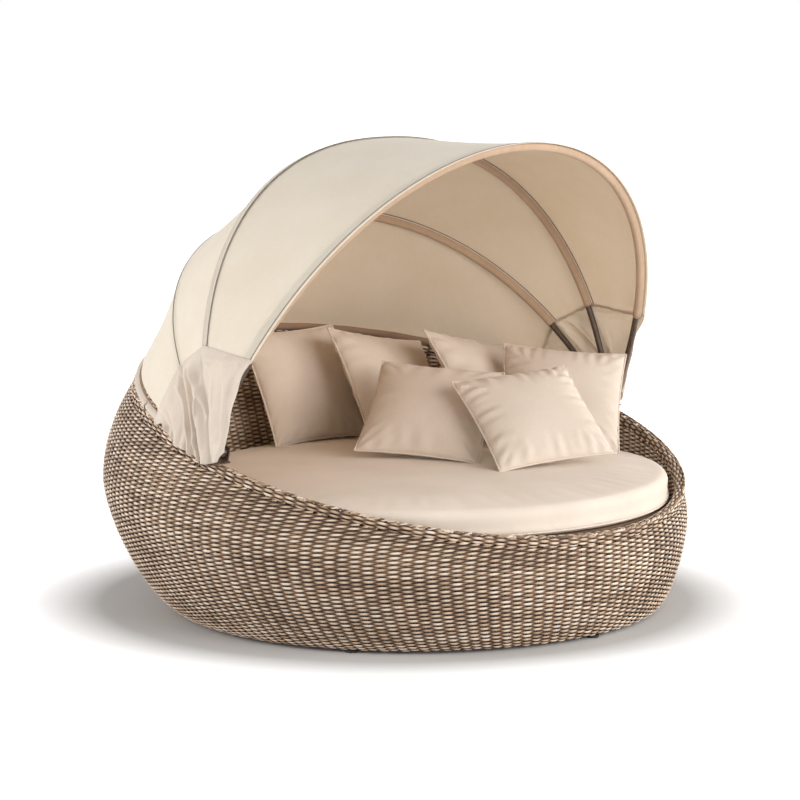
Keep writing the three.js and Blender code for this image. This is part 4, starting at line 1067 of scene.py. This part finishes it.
def inflate(piece, voxel, pressure, cap, pinned):
    """Cloth under air pressure: the piece is remeshed, the points that pinned chooses stay,
    the rest swell for 20 frames, and none moves further than the cap."""
    bpy.context.view_layer.objects.active = piece
    remesh = piece.modifiers.new("remesh", "REMESH")
    remesh.mode = "VOXEL"
    remesh.voxel_size = voxel
    bpy.ops.object.modifier_apply(modifier="remesh")
    mesh = piece.data
    mesh.polygons.foreach_set("use_smooth", np.ones(len(mesh.polygons), bool))
    rest = read_points(mesh)
    group = piece.vertex_groups.new(name="pin")
    group.add([int(i) for i in np.flatnonzero(pinned(rest))], 1.0, "REPLACE")
    cloth = piece.modifiers.new("cloth", "CLOTH")
    settings = cloth.settings
    settings.use_pressure = True
    settings.uniform_pressure_force = pressure
    settings.effector_weights.gravity = 0
    settings.quality = 4
    settings.mass = 0.3
    settings.tension_stiffness = 12
    settings.compression_stiffness = 12
    settings.shear_stiffness = 4
    settings.bending_stiffness = 0.3
    settings.vertex_group_mass = "pin"
    cloth.collision_settings.use_collision = False
    scene = bpy.context.scene
    for number in range(1, 21):
        scene.frame_set(number)
    graph = bpy.context.evaluated_depsgraph_get()
    move = read_points(piece.evaluated_get(graph).data) - rest
    size = np.linalg.norm(move, axis=1, keepdims=True)
    move *= np.minimum(1, cap / np.maximum(size, 1e-9))
    piece.modifiers.remove(cloth)
    scene.frame_set(1)
    write_points(mesh, rest + move)


def scatter_surface(a, b, sign, size, thickness):
    """A square cushion's face: drawn in between the corners, swelling from the seam as
    ((1 - a^2)(1 - b^2))^0.5 towards the middle, with slack creases from the corners."""
    half = size / 2
    draw = 0.055 * half
    x = half * a - np.sign(a) * draw * a ** 2 * (1 - b ** 2)
    z = half * b - np.sign(b) * draw * b ** 2 * (1 - a ** 2)
    swell = ((1 - a ** 2) * (1 - b ** 2)) ** 0.5
    return stack(x, sign * (4 * MM + (thickness - 8 * MM) * swell) / 2, z)


def scatter_mesh(name, seed):
    """The closed cushion form before its place is applied: two faces over one seam."""
    steps = np.sin(np.linspace(-QUARTER, QUARTER, 41))
    a, b = np.meshgrid(steps, steps)
    slack = ripple(a * 0.6, b * 0.6, seed, 5, 0.5, 1.4)
    layers = []
    for sign in (1, -1):
        layer = scatter_surface(a, b, sign, SCATTER_SIZE - 6 * MM, SCATTER_THICKNESS - 4 * MM)
        layer[..., 1] += sign * 2.5 * MM * slack * (1 - a ** 2) * (1 - b ** 2)
        layers.append(layer)
    return mesh_piece(name, np.stack(layers), layer_faces(*a.shape), [SCATTER_CLOTH])


def seam_loop(size, count):
    """The cushion's seam: its square outline, drawn in between round corners."""
    t = np.arange(count) / count * 4
    side = t.astype(int) % 4
    f = (t - t.astype(int)) * 2 - 1
    a = np.choose(side, [f, np.ones_like(f), -f, -np.ones_like(f)])
    b = np.choose(side, [-np.ones_like(f), f, np.ones_like(f), -f])
    return scatter_surface(a, b, 0, size, 0)


def place_points(points, index, base):
    """Turns points of cushion number index about Y, X and Z, and moves them to the seat."""
    x, y, facing, lean, turn = SCATTER_SHARES[index]
    for degrees, axis in ((turn, "Y"), (-lean, "X"), (facing + 90, "Z")):
        points = points @ np.array(Matrix.Rotation(math.radians(degrees), 3, axis)).T
    return points + [x * SEAT_HALF_WIDTH, SEAT_CENTRE_Y + y * SEAT_HALF_DEPTH, base]


def add_scatter_cushions():
    """Each cushion stands where its CAD solid does: lowest corner on lowest corner."""
    for index in range(len(SCATTER_SHARES)):
        node = f"scatter_cushion_{index + 1}"
        piece = scatter_mesh(node + "_cover", 60 + index)
        inflate(piece, 6 * MM, 4.0, 12 * MM, lambda p: np.abs(p[:, 1]) < 4.5 * MM)
        points = crease(read_points(piece.data).astype(float), SCATTER_SIZE / 2, 70 + index)
        loop = seam_loop(SCATTER_SIZE - 3 * MM, 240)
        placed = place_points(points, index, 0.0)
        cord = place_points(loop, index, 0.0)
        lowest = min(placed[:, 2].min(), cord[:, 2].min() - PIPING_RADIUS - 0.3 * MM)
        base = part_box(node)[0].z + 0.5 * MM - lowest
        placed[:, 2] += base
        write_points(piece.data, placed)
        subdivide(piece)
        facing = place_points(np.array([[0, 1, 0], [0, 0, 0]]), index, 0.0)
        piping = tube(f"{node}_piping", place_points(loop, index, base), PIPING_RADIUS, SCATTER_CLOTH,
                      up=facing[0] - facing[1], sides=8, closed=True)
        finish_piece(piece, "base", "cushion_cloth", node)
        finish_piece(piping, "base", "cushion_cloth")


def crease(points, half, seed):
    """Soft puckers along a scatter cushion's seam and drag lines out of its corners, as
    bumps across its faces that fade towards the middle."""
    a, b = points[:, 0] / half, points[:, 2] / half
    side = np.sign(points[:, 1])
    edge = np.maximum(np.abs(a), np.abs(b))
    along = np.where(np.abs(a) > np.abs(b), b, a)
    fade = smooth_step((edge - 0.45) / 0.4) * smooth_step((1.0 - edge) / 0.08)
    pucker = ripple(along * 2.6, side * 0.7 + edge * 0.3, seed, 6, 0.9, 2.2) * 2.6 * MM
    corner = (np.abs(a) * np.abs(b)) ** 1.5
    drag = 3.0 * MM * np.sin(9 * (np.abs(a) - np.abs(b)) * 3 + seed) * corner
    points[:, 1] += side * (pucker * fade + drag * fade)
    return points


def subdivide(piece):
    """Adds a Subdivision Surface with the same level in the view and the render."""
    made = piece.modifiers.new("round", "SUBSURF")
    made.levels = made.render_levels = 1


def add_seat_cushion():
    """The round seat cushion: a profile turned about its middle and made oval, with a soft
    crown, rounded edges and a drawn-in side, and the zip seam, a thin raised cord, along the
    foot of the side."""
    flat = SEAT_HALF_WIDTH - SEAT_EDGE
    inner = np.linspace(0, 1, 26)[1:]
    bend = np.linspace(0, QUARTER, 7)[1:]
    top = np.stack([flat * inner, SEAT_THICKNESS + SEAT_CROWN * (1 - inner ** 2)], -1)
    across, high = flat + SEAT_EDGE * np.sin(bend), SEAT_THICKNESS - SEAT_EDGE + SEAT_EDGE * np.cos(bend)
    shoulder = np.stack([across, high], -1)
    waist = np.array([[SEAT_HALF_WIDTH - 2 * MM, SEAT_THICKNESS / 2]])
    foot = np.stack([flat + SEAT_EDGE * np.cos(bend), SEAT_EDGE - SEAT_EDGE * np.sin(bend)], -1)
    under = np.stack([flat * inner[::-1][1:], 0 * inner[1:]], -1)
    profile = np.concatenate([top, shoulder, waist, foot, under])
    rise = profile[:, 1][:, None]
    turn = np.arange(SEAT_SIDES) / SEAT_SIDES * TURN
    radius = profile[:, 0][:, None] / SEAT_HALF_WIDTH
    x = SEAT_HALF_WIDTH * radius * np.cos(turn)
    y = SEAT_CENTRE_Y + SEAT_HALF_DEPTH * radius * np.sin(turn)
    wave = 1.6 * MM * ripple(x * 1.1, y * 1.1, 81, 6, 0.8, 2.2)
    points = stack(x, y, SEAT_BASE + rise + wave * smooth_step(rise / SEAT_THICKNESS)).reshape(-1, 3)
    heights = (SEAT_BASE + SEAT_THICKNESS + SEAT_CROWN, SEAT_BASE)
    poles = np.array([[0, SEAT_CENTRE_Y, height] for height in heights])
    count = len(profile) * SEAT_SIDES
    k = np.arange(SEAT_SIDES)
    k2 = (k + 1) % SEAT_SIDES
    last = count - SEAT_SIDES
    fans = [np.stack([k * 0 + count, k2, k], -1), np.stack([k * 0 + count + 1, last + k, last + k2], -1)]
    quads = grid_quads(len(profile), SEAT_SIDES, wrap_cols=True)
    piece = mesh_piece("seat_cushion_cover", np.concatenate([points, poles]), [quads, np.concatenate(fans)],
                       [SEAT_CLOTH])
    inflate(piece, 11 * MM, 4.0, 7 * MM, lambda p: p[:, 2] < SEAT_BASE + 25 * MM)
    finish_piece(piece, "base", "cushion_cloth", "seat_cushion")
    inset = 6 * MM
    seam = stack((SEAT_HALF_WIDTH - inset) * np.cos(turn),
                 SEAT_CENTRE_Y + (SEAT_HALF_DEPTH - inset) * np.sin(turn), SEAT_BASE + 12 * MM)
    cord = tube("seat_cushion_seam", seam, 2.2 * MM, SEAT_CLOTH, sides=8, closed=True)
    finish_piece(cord, "base", "cushion_cloth")


# Hardware and webbing.

def add_hardware():
    """Dresses the CAD nodes that still show: the frame, the hinges, the glides and the deck."""
    finishes = (("pivot", STEEL), ("hinge_bracket", BRACKET), ("floor_glide", PLASTIC), ("seat_deck", BOARD))
    for name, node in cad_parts.items():
        if not node.hide_render:
            finish = next((f for start, f in finishes if name.startswith(start)), ALUMINIUM)
            node.data.materials.clear()
            node.data.materials.append(finish)


def add_straps():
    """Tabs of webbing round the outer side of the rear bow's sleeve, over the panel's edge."""
    out = SLEEVE_RADIUS + 3.4 * MM
    turn = np.radians(np.linspace(58, -42, 13))
    for hand, degrees in (("right", 25), ("back", 90), ("left", 155)):
        middle = math.radians(degrees)
        angle = middle + np.linspace(-0.5, 0.5, 9) * STRAP_WIDTH / BELLY_HALF_WIDTH
        grid = np.stack([rim_point(angle, out * math.cos(t), np.full(9, REAR_BOW_LIFT + out * math.sin(t)))
                         for t in turn])
        piece = cloth_shell(f"tie_strap_{hand}_webbing", grid, [FLAP_CLOTH, FLAP_CLOTH], rim_point(middle))
        finish_piece(piece, "base", "canopy_cloth", f"tie_strap_{hand}")


# Camera, lights and stage.

CAMERA_AZIMUTH = math.radians(-44.966)
CAMERA_ELEVATION = math.radians(7.835)
CAMERA_DISTANCE = 9.854
CAMERA_TARGET = Vector((0.0, -0.018, 0.637))
# The photograph is 800 pixels wide, and its focal length came out at 3129 of them.
FOCAL_PIXELS = 3129.0
PHOTO_PIXELS = 800
# How far out the floor starts to lift to white, and where it is white.
SHADOW_END = 0.93
WHITE_START = 1.28
# Each lamp's name, place, size, watts and colour.
LAMPS = (
    ("key", (-5.6, 3.6, 2.4), 3.0, 235, "fff9f4"),
    ("side", (6.0, -1.8, 1.8), 3.0, 150, "fff8f0"),
    ("front", (-0.6, -7.2, 2.6), 3.5, 220, "fffaf6"),
    ("left", (-7.2, -2.6, 1.9), 3.0, 50, "fffaf6"),
    ("front_right", (3.2, -6.4, 2.8), 3.0, 190, "fffaf6"),
)


def hold(name, data, place, look):
    """Puts a camera or a lamp at a place, turned to look along a direction."""
    holder = bpy.data.objects.new(name, data)
    holder.location = place
    holder.rotation_euler = look.to_track_quat("-Z", "Y").to_euler()
    bpy.context.scene.collection.objects.link(holder)
    return holder


def add_camera():
    camera = bpy.data.cameras.new("camera")
    camera.sensor_width = 36
    camera.lens = FOCAL_PIXELS / PHOTO_PIXELS * camera.sensor_width
    camera.clip_end = 100
    back = Vector((
        math.sin(CAMERA_AZIMUTH) * math.cos(CAMERA_ELEVATION),
        -math.cos(CAMERA_AZIMUTH) * math.cos(CAMERA_ELEVATION),
        math.sin(CAMERA_ELEVATION),
    ))
    bpy.context.scene.camera = hold("camera", camera, CAMERA_TARGET + back * CAMERA_DISTANCE, -back)


def add_light(name, place, size, watts, colour):
    """A square area lamp that faces the middle of the daybed."""
    lamp = bpy.data.lights.new(name, "AREA")
    lamp.size = size
    lamp.energy = watts
    lamp.color = srgb(colour)[:3]
    hold(name, lamp, place, CAMERA_TARGET - Vector(place))


def add_stage():
    """A wide white floor. Camera, glossy and transmission rays see it lifted to white away
    from the daybed, and near it the floor keeps its soft shadow."""
    corners = stack(*np.meshgrid([-40.0, 40.0], [-40.0, 40.0]), 0.0)
    floor = mesh_piece("floor", corners, [grid_quads(2, 2)], [], flip=False)
    f = Finish("studio_floor", Roughness=1.0, Specular_IOR_Level=0.0, Base_Color=srgb("cfcfcf"),
               Emission_Color=(1, 1, 1, 1))
    place = f.node("ShaderNodeTexCoord").outputs["Object"]
    far = f.node("ShaderNodeVectorMath", [place], operation="LENGTH").outputs["Value"]
    lift = f.node("ShaderNodeMapRange", {"From Min": SHADOW_END, "From Max": WHITE_START, "Value": far})
    f.feed("Emission Strength", f.math("MULTIPLY", seen_ray(f), lift.outputs[0]))
    floor.data.materials.append(f.material)
    if floor.data.polygons[0].normal.z < 0:
        floor.data.flip_normals()


def seen_ray(f):
    """1 for camera, glossy and transmission rays, and 0 for the rest."""
    rays = f.node("ShaderNodeLightPath").outputs
    seen = rays["Is Camera Ray"]
    for kind in ("Is Glossy Ray", "Is Transmission Ray"):
        seen = f.math("MAXIMUM", seen, rays[kind])
    return seen


def add_world():
    """An even soft light all round, which camera rays see as white."""
    world = bpy.data.worlds.new("studio")
    bpy.context.scene.world = world
    world.use_nodes = True
    w = Nodes(world.node_tree)
    background = w.tree.nodes["Background"]
    strength = w.node("ShaderNodeMapRange", {"To Min": 0.46, "To Max": 1.0, "Value": seen_ray(w)})
    background.inputs["Color"].default_value = (1, 1, 1, 1)
    w.tree.links.new(strength.outputs[0], background.inputs["Strength"])


add_camera()
add_world()
add_stage()
for lamp in LAMPS:
    add_light(*lamp)
add_wicker()
add_canopy()
add_seat_cushion()
add_scatter_cushions()
add_straps()
add_hardware()

view = bpy.context.scene.view_settings
view.view_transform = "Standard"
